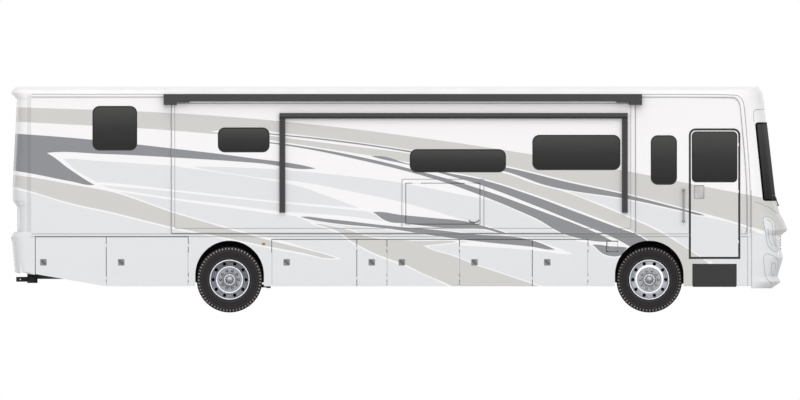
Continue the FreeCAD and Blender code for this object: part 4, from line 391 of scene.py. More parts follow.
# %% [markdown]
# Most of what is added is thin: seals, mouldings, lamps, nuts. All of them are one idea: a profile carried
# along a path. The path here is a side-view outline of X and Z, the profile is pairs of across and
# outward, and one function joins any number of such grids into a closed, smooth mesh that rides on its
# body. A grid is its points and whether its rows and its columns close on themselves.

# %% Outlines and meshes
CREASE = 35   # degrees past which an edge stays sharp


def circle(angle):
    """Cosine and sine of some angles, side by side."""
    return np.stack([np.cos(angle), np.sin(angle)], -1)


def unit(ways):
    """Directions of length 1."""
    return ways / np.linalg.norm(ways, axis=-1, keepdims=True)


def rounded(x0, x1, z0, z1, corner, steps=7):
    """Outline of a rounded rectangle: at each corner a quarter circle, corner + radius (cos, sin)."""
    left, right, low, high = x0 + corner, x1 - corner, z0 + corner, z1 - corner
    middles = np.array([(right, high), (left, high), (left, low), (right, low)])
    turn = np.linspace(0, np.pi / 2, steps)
    return np.concatenate([middle + corner * circle(turn + quarter * np.pi / 2)
                           for quarter, middle in enumerate(middles)])


def stood(name, data):
    """A new object of the scene."""
    made = bpy.data.objects.new(name, data)
    bpy.context.scene.collection.objects.link(made)
    return made


def piece(name, grids, body, made):
    """One mesh from many grids: quads between neighbours; the open ends of a tube get a face."""
    places, faces, first = [], [], 0
    for points, closed_rows, closed_columns in grids:
        index = np.arange(points[..., 0].size).reshape(points.shape[:2]) + first
        ends = index[[0, -1]].tolist() if closed_columns and not closed_rows else []
        first += index.size
        if closed_rows:
            index = np.vstack([index, index[:1]])
        if closed_columns:
            index = np.hstack([index, index[:, :1]])
        quads = np.stack([index[:-1, :-1], index[1:, :-1], index[1:, 1:], index[:-1, 1:]], -1)
        places.append(points.reshape(-1, 3))
        faces += quads.reshape(-1, 4).tolist() + ends
    mesh = bpy.data.meshes.new(name)
    mesh.from_pydata(np.concatenate(places), [], faces)
    work = bmesh.new()
    work.from_mesh(mesh)
    bmesh.ops.remove_doubles(work, verts=work.verts, dist=1e-5)
    bmesh.ops.recalc_face_normals(work, faces=work.faces)
    work.to_mesh(mesh)
    work.free()
    mesh.shade_smooth()
    mesh.set_sharp_from_angle(angle=math.radians(CREASE))
    mesh.materials.append(made)
    made_piece = stood(name, mesh)
    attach(made_piece, body)
    return made_piece


def points_of(mesh):
    """All points of a mesh as one array."""
    places = np.empty(len(mesh.vertices) * 3)
    mesh.vertices.foreach_get("co", places)
    return places.reshape(-1, 3)


print("a rounded outline has", len(rounded(0, 1, 0, 1, 0.1)), "points")

# %% [markdown]
# Five kinds of grid make every piece: a bead along an outline, layers of a shrinking outline, a plate,
# a profile turned about an axle, and a round bar.

# %% Shapes from grids
def bead(path, profile, level, closed=True):
    """Carry a profile along a side-view path: path + across times its normal, level + outward in Y."""
    path, profile = np.asarray(path, float), np.asarray(profile, float)
    ahead = unit(np.roll(path, -1, 0) - np.roll(path, 1, 0) if closed else np.gradient(path, axis=0))
    normal = np.stack([-ahead[:, 1], ahead[:, 0]], 1)
    flat = path[:, None] + normal[:, None] * profile[None, :, :1]
    deep = np.broadcast_to(level + profile[:, 1], flat.shape[:2])
    return np.stack([flat[..., 0], deep, flat[..., 1]], -1), closed, True


def layers(outline, shares, deep):
    """A side-view outline at several depths in Y, each time as middle + share (outline - middle)."""
    outline = np.asarray(outline, float)
    middle = (outline.max(0) + outline.min(0)) / 2
    flat = middle + (outline[None] - middle) * shares[:, None, None]
    return np.stack([flat[..., 0], deep[:, None] + 0 * flat[..., 0], flat[..., 1]], -1), False, True


def plate(outline, back, front, shares=(0.0, 0.5, 1.0)):
    """A flat plate, as layers from the middle of its back to that of its front."""
    return layers(outline, np.concatenate([shares, shares[::-1]]), np.repeat([back, front], len(shares)))


def lathe(profile, centre, around, ripple=None, ring=False):
    """Turn a profile of radius and Y about a wheel's axis: centre + radius (cos, sin) of the angle.

    A profile from axis to axis closes at its poles; a ring's profile joins its own end to its start.
    """
    profile = np.asarray(profile, float)
    angle = np.linspace(0, 2 * np.pi, around, endpoint=False)[:, None]
    radius, deep = np.broadcast_arrays(profile[None, :, 0], profile[None, :, 1])
    radius = radius + (0 if ripple is None else ripple(angle, profile[None, :, 1], radius))
    points = np.stack([centre[0] + radius * np.cos(angle), centre[1] + deep + 0 * angle,
                       centre[2] + radius * np.sin(angle)], -1)
    return points, True, ring


def tube(path, radius, around=10):
    """A round bar: each path point + radius (cos, sin) in the plane across the path."""
    path = np.asarray(path, float)
    ahead = unit(np.gradient(path, axis=0))
    side_way = unit(np.cross(ahead, [0.31, 0.87, 0.38]))   # any direction that no bar here runs along
    up_way = np.cross(ahead, side_way)
    angle = np.linspace(0, 2 * np.pi, around, endpoint=False)[None, :, None]
    points = path[:, None] + radius * (side_way[:, None] * np.cos(angle) + up_way[:, None] * np.sin(angle))
    return points, False, True


HALF_ROUND = [(-1, -0.3), (-1, 0.2), (-0.6, 0.8), (0, 1), (0.6, 0.8), (1, 0.2), (1, -0.3)]


def half_round(wide, high):
    """A half-round section, wide across and high outwards."""
    return np.array(HALF_ROUND) * (wide / 2, high)


print("a half-round seal has", len(HALF_ROUND), "points across")

# %% [markdown]
# Window glass on coaches is tinted so dark that the room behind it hardly shows: it looks black, lighter
# at the top where it mirrors the sky. Each pane is a grid that shrinks a rounded outline to its middle.
# Its own UV map runs from foot to head, and the glass colour follows it: dark tint with a painted sky
# reflection that grows lighter towards the head.

# %% Tinted window glass
glass, tree, surface = material("tinted_safety_glass", {
    "Roughness": 0.04, "IOR": 1.5, "Specular IOR Level": 0.2, "Transmission Weight": 0.12})
rise = add(tree, "SeparateXYZ", [add(tree, "UVMap").outputs[0]]).outputs[1]
# Painted reflection: the dark tint grows lighter from foot to head, where the glass would mirror the sky.
tint_and_painted_sky = ramp(rise, (0.0, "#1d1d1b"), (0.5, "#2f302f"), (1.0, "#4a4c49"))
mottle = add(tree, "TexNoise", {"Vector": place_on(tree), "Scale": 1.3, "Detail": 1.0}).outputs[0]
veil = add(tree, "MapRange", {"Value": mottle, "To Min": 0.92, "To Max": 1.08}).outputs[0]
feed(surface, "Base Color", add(tree, "VectorMath", {0: tint_and_painted_sky, "Scale": veil}, operation="SCALE").outputs[0])

seal, _, surface = material("black_rubber_seal", {"Roughness": 0.55, "Specular IOR Level": 0.3})
worn = grain(surface, 0.004, 0.0001)
feed(surface, "Base Color", ramp(worn, (0.0, "#151515"), (1.0, "#2b2b2b")))

PANE_THICK = 0.006
WINDOW_CORNER = 0.1


def pane(name, outline, level, sign, body, node_name):
    """A pane with a UV map that runs from 0 at its foot to 1 at its head."""
    made = piece(name, [plate(outline, level - sign * PANE_THICK, level)], body, glass)
    corners = np.empty(len(made.data.loops), int)
    made.data.loops.foreach_get("vertex_index", corners)
    low, high = outline.min(0), outline.max(0)
    spread = (points_of(made.data)[corners][:, (0, 2)] - low) / (high - low)
    made.data.uv_layers.new(name="glass").data.foreach_set("uv", spread.ravel())
    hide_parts(node_name)


def sealed_window(name, edges, level, sign, body, node_name):
    """A pane and the rubber bead that holds it."""
    pane("pane_" + name, rounded(*edges, WINDOW_CORNER), level, sign, body, node_name)
    rim = rounded(*edges, WINDOW_CORNER, 9)
    piece("seal_" + name, [bead(rim, half_round(0.018, 0.005 * sign), level)], body, seal)


def box_of(rear, front, top, foot):
    """Edges of a rectangle read off the side view, in metres."""
    return along(rear), along(front), above(foot), above(top)


print("pane:", PANE_THICK, "m thick, corners", WINDOW_CORNER, "m")

# %% [markdown]
# The right side has two windows in the wall and three in the slide-out, read off the side view. The left
# side has five, given in metres: width, setback from the nose, foot and head.

# %% Windows
RIGHT_WINDOWS = [
    ("right_1", (93.0, 136.6, 106.5, 149.9), SIDE, "coach", "wall_windows"),
    ("right_5", (651.3, 676.4, 135.8, 184.2), SIDE, "coach", "wall_windows"),
    ("slide_2", (218.4, 269.0, 128.0, 151.8), FACE, "slide_out", "slide_windows"),
    ("slide_3", (410.3, 505.4, 149.7, 171.8), FACE, "slide_out", "slide_windows"),
    ("slide_4", (532.9, 619.8, 135.4, 169.5), FACE, "slide_out", "slide_windows"),
]
LEFT_WINDOWS = [(0.676, 1.279, 2.520, 3.193), (1.474, 3.222, 2.216, 2.745), (1.474, 6.197, 2.216, 2.745),
                (1.347, 8.097, 2.216, 2.745), (0.752, 10.5145, 1.989, 2.739)]
for name, edges, face, body, node_name in RIGHT_WINDOWS:
    sealed_window(name, box_of(*edges), -face, -1, body, node_name)
for number, (wide, setback, foot, head) in enumerate(LEFT_WINDOWS, 1):
    edges = (setback - NOSE, setback - NOSE + wide, foot, head)
    sealed_window(f"left_{number}", edges, SIDE, 1, "coach", "wall_windows")
print("windows:", len(RIGHT_WINDOWS) + len(LEFT_WINDOWS))

# %% [markdown]
# Metal and plastic parts keep their CAD shape and get their finish here: clear-coated or powder-coated
# aluminium, chassis black with road dust, moulded ABS, stainless steel. One function mottles a colour
# between two close values with noise of a real size, which is what keeps a surface from looking like a
# flat swatch. Each finish names the CAD pieces that wear it.

# %% Finishes of the CAD pieces
def mottled(name, dark_code, light_code, size, relief, feeds, *nodes):
    """A finish whose colour wanders between two codes over size metres, with relief in metres."""
    made, _, surface = material(name, feeds)
    noise = grain(surface, size, relief)
    feed(surface, "Base Color", ramp(noise, (0.3, dark_code), (0.7, light_code)))
    dress(made, *nodes)
    return made


mottled("white_gelcoat_fibreglass", "#f4f4f3", "#fbfbfb", 0.35, 0.00002,
        {"Roughness": 0.35, "Coat Weight": 0.3, "Coat Roughness": 0.1}, "coach_roof")
mottled("charcoal_powder_coated_aluminium", "#2c2a2b", "#373536", 0.0012, 0.00003, {"Roughness": 0.5},
        "slide_topper", "patio_awning")
chassis_black = mottled("chassis_black_with_road_dust", "#161616", "#2c2a28", 0.09, 0.0002, {"Roughness": 0.6},
                        "chassis_frame", "front_axle", "rear_axle", "suspension", "knuckle_right",
                        "knuckle_left", "tie_rod")
mottled("painted_cast_iron", "#3a3c3e", "#4a4c4e", 0.004, 0.0002, {"Roughness": 0.55}, "engine_and_shaft")
mottled("satin_rolled_aluminium", "#9b9c9d", "#b4b5b6", 0.02, 0.00005, {"Metallic": 1.0, "Roughness": 0.38},
        "fuel_tank")
mottled("varnished_floor_plywood", "#8d6f4c", "#a88660", 0.06, 0.0001, {"Roughness": 0.45}, "coach_floor")
mottled("black_moulded_liner", "#131313", "#1e1e1e", 0.004, 0.0002, {"Roughness": 0.75},
        "baggage_bays", "wheel_wells")
mottled("black_grained_abs", "#191919", "#242424", 0.0018, 0.00008, {"Roughness": 0.5},
        "entry_frame", "dashboard", "front_grille")
mottled("black_non_slip_step_coat", "#1f1f1f", "#303030", 0.0025, 0.0004, {"Roughness": 0.7}, "entry_step")
steel = mottled("brushed_stainless_steel", "#8b8b8e", "#a2a2a5", 0.0008, 0.00001,
                {"Metallic": 1.0, "Roughness": 0.3}, "grab_handle")
print("finishes so far:", len(bpy.data.materials))

# %% [markdown]
# The windshield is one sheet bonded to the cap. Its edge carries a fired black band, which hides the glue.
# The band is where a point is near the top, the foot or the slanting rear edge of the sheet.

# %% Windshield
GLASS_FOOT, GLASS_HEAD = 1.728, 2.948
BAND_FOOT, BAND_HEAD = 1.76, 2.922   # the band lies below and above these heights
LEAN, BAND_REAR = 0.1033, 5.822 + 0.03   # and behind X + LEAN Z = BAND_REAR
BAND_SLOPE = 800.0   # clear glass gained over a metre
screen_glass, tree, surface = material("laminated_windshield_glass", {
    "Roughness": 0.12, "IOR": 1.5, "Specular IOR Level": 0.0, "Transmission Weight": 0.05})
x, _, z = parts_of(tree)
rise = add(tree, "MapRange", {"Value": z, "From Min": GLASS_FOOT, "From Max": GLASS_HEAD}).outputs[0]
from_rear = calc("SUBTRACT", calc("MULTIPLY_ADD", z, LEAN, x), BAND_REAR)
nearest = calc("MINIMUM", from_rear, calc("SUBTRACT", BAND_HEAD, z))
nearest = calc("MINIMUM", nearest, calc("SUBTRACT", z, BAND_FOOT))
clear = calc("MULTIPLY", nearest, BAND_SLOPE, use_clamp=True)
# Painted reflection: the glass grows lighter from foot to head, standing in for the mirrored sky.
tint_and_painted_sky = ramp(rise, (0.0, "#2e2e2d"), (1.0, "#4a4b4a"))
feed(surface, "Base Color", mix(clear, linear("#101010"), tint_and_painted_sky))
dress(screen_glass, "windshield")

# %% [markdown]
# A coach body is jointed with extruded mouldings: a double drip rail along the roof that bends down over
# the cap joint, a belt moulding, and a rubber line round the slide-out. At this scale they read as fine
# grey lines, so each is a thin half-round bead of grey rubber. The belt stops at the entry door.

# %% Mouldings and joints
joint_grey = mottled("grey_joint_sealant", "#8e8f91", "#a3a4a6", 0.01, 0.0001, {"Roughness": 0.6})


def line(name, path, wide, sign, level, high):
    """A thin bead along an open path given in side-view readings."""
    path = np.asarray(path, float)
    places = np.stack([along(path[:, 0]), above(path[:, 1])], 1)
    section = half_round(wide, high) * (1, sign)
    piece(name, [bead(places, section, sign * level, closed=False)], "coach", joint_grey)


def eased(points, times=3, closed=False):
    """Rounded corners: each run gives points at 1/4 and 3/4 of it, a few times; an open line keeps its ends."""
    points = np.asarray(points, float)
    for _ in range(times):
        ahead = np.roll(points, -1, 0)
        cut = np.stack([points * 0.75 + ahead * 0.25, points * 0.25 + ahead * 0.75], 1).reshape(-1, 2)
        points = cut if closed else np.concatenate([points[:1], cut[:-2], points[-1:]])
    return points


RAIL_OUTER = [(31.5, 94.2), (600, 94.2), (735, 94.3), (740.8, 96.8), (744.2, 104), (745.8, 125), (749.7, 171),
              (750.3, 200), (750.3, 233)]
RAIL_INNER = [(31.5, 96.9), (600, 96.9), (732, 97), (737.5, 99.4), (740.4, 106), (742, 126), (746, 172),
              (747, 200), (747.2, 233)]
RAILS = {"outer": (RAIL_OUTER, SIDE + 0.0118), "inner": (RAIL_INNER, SIDE + 0.0115)}   # path and level
RAIL_WIDE = 0.009
RAIL_RISE = {"right": 0.0035, "left": 0.0005}   # on the left a full bead would widen the coach
BELTS = {"upper": (234.0, 0.009), "lower": (236.3, 0.006)}   # height as a reading, width in metres
BELT_LEVEL, BELT_RISE = SIDE + 0.0098, 0.002
BELT_RUNS = {"right": [(31.5, 688.0), (740.9, 747.2)], "left": [(31.5, 747.2)]}
for word, sign in SIDES:
    for name, (path, level) in RAILS.items():
        line(f"rail_{name}_{word}", eased(path), RAIL_WIDE, sign, level, RAIL_RISE[word])
    for run, (rear, front) in enumerate(BELT_RUNS[word], 1):
        for name, (height, wide) in BELTS.items():
            path = [(x, height) for x in (rear, (rear + front) / 2, front)]
            line(f"belt_{name}_{word}_{run}", path, wide, sign, BELT_LEVEL, BELT_RISE)
print("rails and belts:", 2 * len(RAILS) + 3 * len(BELTS))

# %% [markdown]
# The slide-out, its hatch and the fuel door are outlined with closed beads. Each has its edges as readings
# (rear, front, top and foot), then its corner in metres and steps, its width, its rise, the face it lies
# on and the body it rides on.

# %% Closed lines
CLOSED_LINES = {
    "slide_wiper_seal": ((171.5, 635.3, 100.7, 233.2), 0.012, 3, 0.012, 0.004, FACE, "slide_out"),
    "slide_inner_line": ((174.8, 630.8, 103.6, 228.3), 0.03, 5, 0.008, 0.003, FACE, "slide_out"),
    "fuel_door_line": ((607.6, 617.5, 241.5, 251.3), 0.012, 3, 0.006, 0.001, SIDE + 0.0038, "fuel_flap"),
    "hatch_frame_line": ((402.0, 483.8, 179.3, 227.9), 0.012, 4, 0.01, 0.003, FACE + 0.0078, "slide_out"),
}
for name, (edges, corner, steps, wide, high, face, body) in CLOSED_LINES.items():
    outline = rounded(*box_of(*edges), corner, steps)
    piece(name, [bead(outline, half_round(wide, high) * (1, -1), -face)], body, joint_grey)
print("closed lines:", len(CLOSED_LINES))

# %% [markdown]
# Tyre rubber is nearly black, with pale marks in the notches of the shoulder: painted highlights of the
# lugs. Where a point lies is turned into its distance from the axle and the angle round it; a notch is a
# share of each sixtieth turn.

# %% Tyre rubber
RIM_RADIUS, TYRE_RADIUS = 0.308, 0.510
LUGS = 60   # lugs round each shoulder, and notches between them
LUG_HIGHLIGHT_RADIUS, LUG_HIGHLIGHT_HALF = 0.480, 0.015   # middle and half width of the band of painted highlights
LUG_HIGHLIGHT_SHARE, LUG_HIGHLIGHT_COVER = 0.36, 0.62   # share of a turn's sixtieth, and how strong the painted highlight is
WALL_RINGS = (0.339, 0.440)   # radii of the moulded rings on the wall
RING_HALF, RING_COVER = 0.003, 0.35   # half a ring's width, and how much paler rubber covers there


def turning(tree, centre_x):
    """Distance from an axle and the angle round it, from Object coordinates."""
    x, _, z = parts_of(tree)
    ahead = calc("SUBTRACT", x, centre_x)
    up = calc("SUBTRACT", z, AXLE_HEIGHT)
    flat = add(tree, "CombineXYZ", [ahead, 0.0, up]).outputs[0]
    return (add(tree, "VectorMath", [flat], operation="LENGTH").outputs["Value"],
            calc("ARCTAN2", up, ahead))


def rubber_with_lug_highlights(name, centre_x):
    """Tyre rubber with painted highlights in the shoulder notches and two moulded rings on the wall."""
    made, tree, surface = material(name, {"Roughness": 0.8, "Specular IOR Level": 0.25})
    noise = grain(surface, 0.003, 0.0001)
    radius, angle = turning(tree, centre_x)
    beat = calc("FRACT", calc("MULTIPLY_ADD", angle, LUGS / (2 * math.pi), 100.0))
    # Painted highlight: pale marks in the shoulder notches, all round the tyre.
    notch = calc("LESS_THAN", beat, LUG_HIGHLIGHT_SHARE)
    band = calc("COMPARE", radius, LUG_HIGHLIGHT_RADIUS, LUG_HIGHLIGHT_HALF)
    lug_highlight = calc("MULTIPLY", calc("MULTIPLY", notch, band), LUG_HIGHLIGHT_COVER)
    colour = mix(lug_highlight, ramp(noise, (0.0, "#211e1f"), (1.0, "#2f2c2d")), linear("#b5b2af"))
    for ring in WALL_RINGS:
        share = calc("MULTIPLY", calc("COMPARE", radius, ring, RING_HALF), RING_COVER)
        colour = mix(share, colour, linear("#6a6664"))
    feed(surface, "Base Color", colour)
    return made


rubber = {end: rubber_with_lug_highlights("carbon_black_rubber_" + end, AXLES[end]) for end in AXLES}
print("dust notches to a turn:", LUGS)

# %% [markdown]
# Tyres are moulded rubber: a barrel-shaped section, rings on the sidewall, four grooves round the tread
# and lugs cut into each shoulder. The grooves are a dip of the radius that depends only on Y; the lugs
# also depend on the angle. Turning the section about the axle gives the tyre.

# %% Tyres with tread
SHOULDER = 0.042   # radius of the turn from tread to wall
GROOVES, GROOVE_HALF = np.array([0.022, 0.062]), 0.006   # places from the middle in Y, and half a width


def tyre_section():
    """Radius and Y of the section, bead to bead: quarter turns at the shoulders, a bulge at the walls."""
    turn = np.linspace(0, np.pi / 2, 7)
    shoulder = np.stack([TYRE_RADIUS - SHOULDER + SHOULDER * np.sin(turn), 0.094 + SHOULDER * np.cos(turn)], 1)
    wall_radius = np.array([RIM_RADIUS + 0.001, 0.330, 0.360, 0.400, 0.424, 0.427, 0.430, 0.433, 0.444, 0.447,
                            0.450, 0.453, 0.462])
    bulge = 0.118 + 0.0215 * np.sin(np.clip((wall_radius - RIM_RADIUS) / 0.19, 0, 1) * np.pi * 0.72)
    bulge[[5, 6, 9, 10]] -= 0.0025   # two grooves, so that a ring stands between them
    half = np.concatenate([np.stack([wall_radius, bulge], 1), shoulder])
    tread = np.linspace(0.089, -0.089, 25)
    return np.concatenate([half, np.stack([np.full(25, TYRE_RADIUS), tread], 1), half[::-1] * (1, -1)])


def tread_ripple(angle, deep, radius):
    """Dip of the radius: 10 mm in four grooves, 7 mm between the lugs of each shoulder."""
    groove = np.min(np.abs(np.abs(deep)[..., None] - GROOVES), -1) < GROOVE_HALF
    lug = (np.mod(angle * LUGS / (2 * np.pi) + 0.01, 1.0) < 0.3) & (np.abs(deep) > 0.075) & (radius > 0.485)
    crown = radius > TYRE_RADIUS - 0.001
    return -0.010 * (groove & crown) - 0.007 * lug


section = tyre_section()


def tyre(end, y):
    """One tyre on an axle, with five steps of the lathe to a lug."""
    return lathe(section, (AXLES[end], y, AXLE_HEIGHT), 5 * LUGS, tread_ripple, True)


for word, sign in SIDES:
    front = piece("tyre_front_" + word, [tyre("front", 1.030 * sign)], word + "_front_wheel",
                  rubber["front"])
    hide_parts("front_tyre_" + word)
    twins = piece("tyres_rear_" + word, [tyre("rear", y * sign) for y in (1.110, 0.786)],
                  word + "_rear_wheels", rubber["rear"])
    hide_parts("rear_tyres_" + word)
print("one tyre section has", len(section), "points")

# %% [markdown]
# The wheels are forged aluminium, polished on a lathe, so they mirror sky above and ground below. Polish
# marks run round the axle: the roughness and a very fine bump follow the distance from it. Ten nuts sit on
# a 284 mm circle round a domed cap, and a dark disc behind the hand holes stands in for the shade there.

# %% Wheels
# Painted shade and reflection: by radius the base colour darkens in rings over hub and dish, and turns blue-grey
# near the lip.
PAINTED_RIM_SHADING = [(0.0, "#f2f2f4"), (0.24, "#c6c8cc"), (0.30, "#84868b"), (0.56, "#9b9da2"), (0.60, "#6d6f75"),
               (0.64, "#eceef2"), (0.90, "#e2e6ee"), (0.95, "#a9adb6"), (1.0, "#f0f1f4")]


def polished(name, centre_x):
    """Polished aluminium: turning marks follow the radius, and so do rings of painted shade and reflection on
    disc, dish and lip.
    """
    made, tree, surface = material(name, {"Metallic": 0.72})
    radius, _ = turning(tree, centre_x)
    rings = add(tree, "TexNoise", {"W": radius, "Scale": 220.0, "Detail": 2.0}, noise_dimensions="1D").outputs[0]
    feed(surface, "Roughness", add(tree, "MapRange", {"Value": rings, "To Min": 0.2, "To Max": 0.36}).outputs[0])
    emboss(surface, rings, 0.0002, 0.4)
    feed(surface, "Base Color", ramp(calc("DIVIDE", radius, RIM_RADIUS), *PAINTED_RIM_SHADING))
    return made


NUT_COUNT, NUT_RADIUS = 10, 0.142   # the radius of the circle that the nuts stand on
NUT = np.array([(0.0, 0.040), (0.008, 0.040), (0.009, 0.030), (0.014, 0.028), (0.0175, 0.022), (0.0175, 0.004),
                (0.023, 0.0), (0.0, -0.001)])
CAP = np.array([(0.0, 0.030), (0.020, 0.029), (0.040, 0.024), (0.054, 0.016), (0.062, 0.006), (0.066, 0.0),
                (0.0, -0.001)])
HOLE_SHADE_DISC = np.array([(0.203, -0.004), (0.292, -0.004), (0.292, 0.0), (0.203, 0.0)])


def hexagon(turn, deep, radius):
    """Flats of a nut: the radius pulled in by sin squared of 3 turns."""
    return -0.0018 * np.sin(3 * turn) ** 2


def star(turn, deep, radius):
    """A ten-pointed cap: the radius swings by a tenth, ten times round."""
    return 0.1 * radius * np.cos(10 * turn)


def nuts(centre, sign):
    """Hexagon nuts: middle + radius (cos, sin) of the angle, each a stud and nut profile turned."""
    for across, up in NUT_RADIUS * circle(np.linspace(0, 2 * np.pi, NUT_COUNT, endpoint=False)):
        yield lathe(NUT * (1, sign), np.array(centre) + (across, 0, up), 12, hexagon)


hole_shade = mottled("painted_shade_disc_black", "#1b1b1d", "#2a2a2c", 0.01, 0.0002, {"Roughness": 0.7})
rim_finish = {end: polished("polished_forged_aluminium_" + end, AXLES[end]) for end in AXLES}
WHEELS = {"front": (1.192, 1.240, 1.05, "_front_wheel"),   # Y of the disc, of the cap's seat, of the dark shade disc
          "rear": (0.970, 1.160, 0.87, "_rear_wheels")}
for word, sign in SIDES:
    dress(rim_finish["front"], "front_rim_" + word)
    dress(rim_finish["rear"], "rear_rims_" + word)
    for end, (disc_y, cap_y, shade_disc_y, body) in WHEELS.items():
        disc, cap, shade_disc = [(AXLES[end], y * sign, AXLE_HEIGHT) for y in (disc_y, cap_y, shade_disc_y)]
        body = word + body
        piece(f"nuts_{end}_{word}", list(nuts(disc, sign)), body, steel)
        piece(f"hub_cap_{end}_{word}", [lathe(CAP * (1, sign), cap, 60, star)], body, steel)
        # Painted shade: a near-black disc behind the hand holes, where there is only shade.
        piece(f"hole_shade_disc_{end}_{word}", [lathe(HOLE_SHADE_DISC, shade_disc, 64, ring=True)], body, hole_shade)
print("nuts:", NUT_COUNT * len(WHEELS) * len(SIDES))

# %% [markdown]
# Outlines on the moulded nose can't be drawn flat, because the nose curves. So each line is first shone
# straight in from the side onto the panels, which gives its depth at every point, and a thin bar is laid
# along it, half sunk. The lines are the cap joint, the hood, the lamps, the brow and the belt's step.

# %% Lines that follow the nose
NOSE_LINES = {
    "cap_joint": [(751.2, 190), (751.6, 210), (751.6, 286)],
    "cap_joint_inner": [(747.3, 236), (747.6, 250), (747.6, 286)],
    "hood": [(754.5, 201.6), (763.8, 204.8), (771.5, 208.9), (777.5, 213.2)],
    "headlamp": [(763.3, 221), (763.3, 216.9), (768.7, 216.9), (774.3, 220.8), (775.2, 225.7), (775.2, 243.2),
                 (778, 249), (777.1, 253), (770.1, 248.8), (766.9, 243.9), (765.9, 234.1), (763.3, 221)],
    "headlamp_inner": [(766.2, 219.6), (768.5, 219.6), (772, 223), (772.9, 228), (772.9, 240), (775.6, 246.5)],
    "headlamp_band": [(768.0, 228), (768.6, 236), (769.6, 242), (772.4, 245.5)],
    "fog_lamp": [(771.5, 262.9), (774.6, 262.9), (775.4, 266), (774.4, 275.4), (772.2, 276.6), (771.2, 270),
                 (771.5, 262.9)],
    "fog": [(763.6, 257), (765.2, 254.1), (768.7, 253.6), (777.5, 258.3), (778.4, 264), (776.5, 276)],
    "fog_rear": [(763.6, 257), (763.9, 264), (765.2, 277.6), (771.5, 283.5)],
    "brow": [(754.3, 122), (752.8, 113), (755.5, 109.4), (765.5, 109.2)],
    "belt_step": [(741.2, 234.2), (744.8, 234.0), (746.2, 232.4), (746.5, 228.0), (747.8, 226.3), (751.3, 226.1)],
}


def skin(*names):
    """A search tree of the faces of some CAD nodes."""
    places, faces = [], []
    for name in names:
        first = len(places)
        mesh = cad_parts[name].data
        places += [v.co[:] for v in mesh.vertices]
        faces += [[first + i for i in p.vertices] for p in mesh.polygons]
    return BVHTree.FromPolygons(places, faces)


def shone(tree, starts, way):
    """The points where rays from some starts, all going one way, meet the faces."""
    hits = [tree.ray_cast(Vector(start), Vector(way))[0] for start in starts]
    return np.array([hit[:] for hit in hits if hit is not None])


NOSE_SKIN = skin("front_cap", "front_lamps", "windshield", "skirt_right", "skirt_left", "wall_right", "wall_left")


def laid(path, sign):
    """A side-view path shone onto the panels; on the left it stays 8.5 mm from the wall's face at most."""
    path = eased(path)
    starts = np.stack([along(path[:, 0]), np.full(len(path), 3.0 * sign), above(path[:, 1])], 1)
    places = shone(NOSE_SKIN, starts, (0, -sign, 0))
    places[:, 1] = np.minimum(places[:, 1], SIDE + 0.0085)
    return places


for word, sign in SIDES:
    for name, path in NOSE_LINES.items():
        piece(f"line_{name}_{word}", [tube(laid(path, sign), 0.0035, 8)], "coach", joint_grey)
print("lines on the nose:", len(NOSE_LINES) * len(SIDES))

# %% [markdown]
# The tail cap is moulded with a rounded corner on each side, and painted corner posts stand close behind
# its skin. A post is a strip of the same corner: at each height the skin's distance from the corner's
# middle is found at 50 and at 86 degrees, and the strip runs evenly from one to the other, just inside.

# %% Rear corner posts
TAIL_SKIN = skin("rear_cap")
POSTS = {"low": (1.2505, 1.69), "high": (2.43, 3.34)}   # heights of foot and head
CORNER_X, CORNER_Y = -5.80, 1.08   # the middle that the tail's corners turn about
CORNER_TURN = (50, 86)   # degrees round the corner that a post spans


def post(name, sign, foot, head):
    """Corner strip: middle + radius (cos, sin) of the angle; radius from one end's to the other's, less 2 mm."""
    heights = np.arange(foot, head, 0.01)
    turn = np.radians(np.linspace(*CORNER_TURN, 10))
    ways = np.stack([-np.cos(turn), sign * np.sin(turn), 0 * turn], 1)
    middle = np.array([CORNER_X, sign * CORNER_Y, 0.0])
    ends = [(shone(TAIL_SKIN, middle + 2 * way + heights[:, None] * (0, 0, 1), -way) - middle) @ way
            for way in (ways[0], ways[-1])]
    share = np.linspace(0, 1, 10)
    radius = np.outer(ends[0], 1 - share) + np.outer(ends[1], share)
    rows = middle + heights[:, None, None] * (0, 0, 1)
    outer = rows + (radius - 0.002)[..., None] * ways
    inner = rows + (radius - 0.008)[..., None] * ways
    piece(name, [(np.concatenate([outer, inner[:, ::-1]], 1), False, True)], "coach", paint)


for word, sign in SIDES:
    for name, (foot, head) in POSTS.items():
        post(f"rear_post_{name}_{word}", sign, foot, head)
print("corner posts:", len(POSTS) * len(SIDES))

# %% [markdown]
# Lamps: headlamps and fog lamps have clear polycarbonate lenses over bright reflectors, which from the
# side look like pale, faintly ribbed glass. The ribs are a wave of 12 mm. Tail lamps are red acrylic with
# the same ribs, closer together, and a small amber marker sits low on each side.

# %% Lamps
def lens(name, dark_code, light_code, pitch, *nodes):
    """Ribbed clear plastic: a wave up the height sets the relief and the shade, pitch metres to a rib."""
    made, tree, surface = material(name, {"Roughness": 0.06, "IOR": 1.58, "Coat Weight": 0.6,
                                          "Coat Roughness": 0.03})
    scale = 2 * math.pi / (20 * pitch)   # the wave node works in twentieths
    wave = add(tree, "TexWave", {"Vector": place_on(tree), "Scale": scale, "Distortion": 0.6},
               bands_direction="Z").outputs[0]
    emboss(surface, wave, 0.001, 0.6)
    feed(surface, "Base Color", ramp(wave, (0.0, dark_code), (1.0, light_code)))
    dress(made, *nodes)
    return made


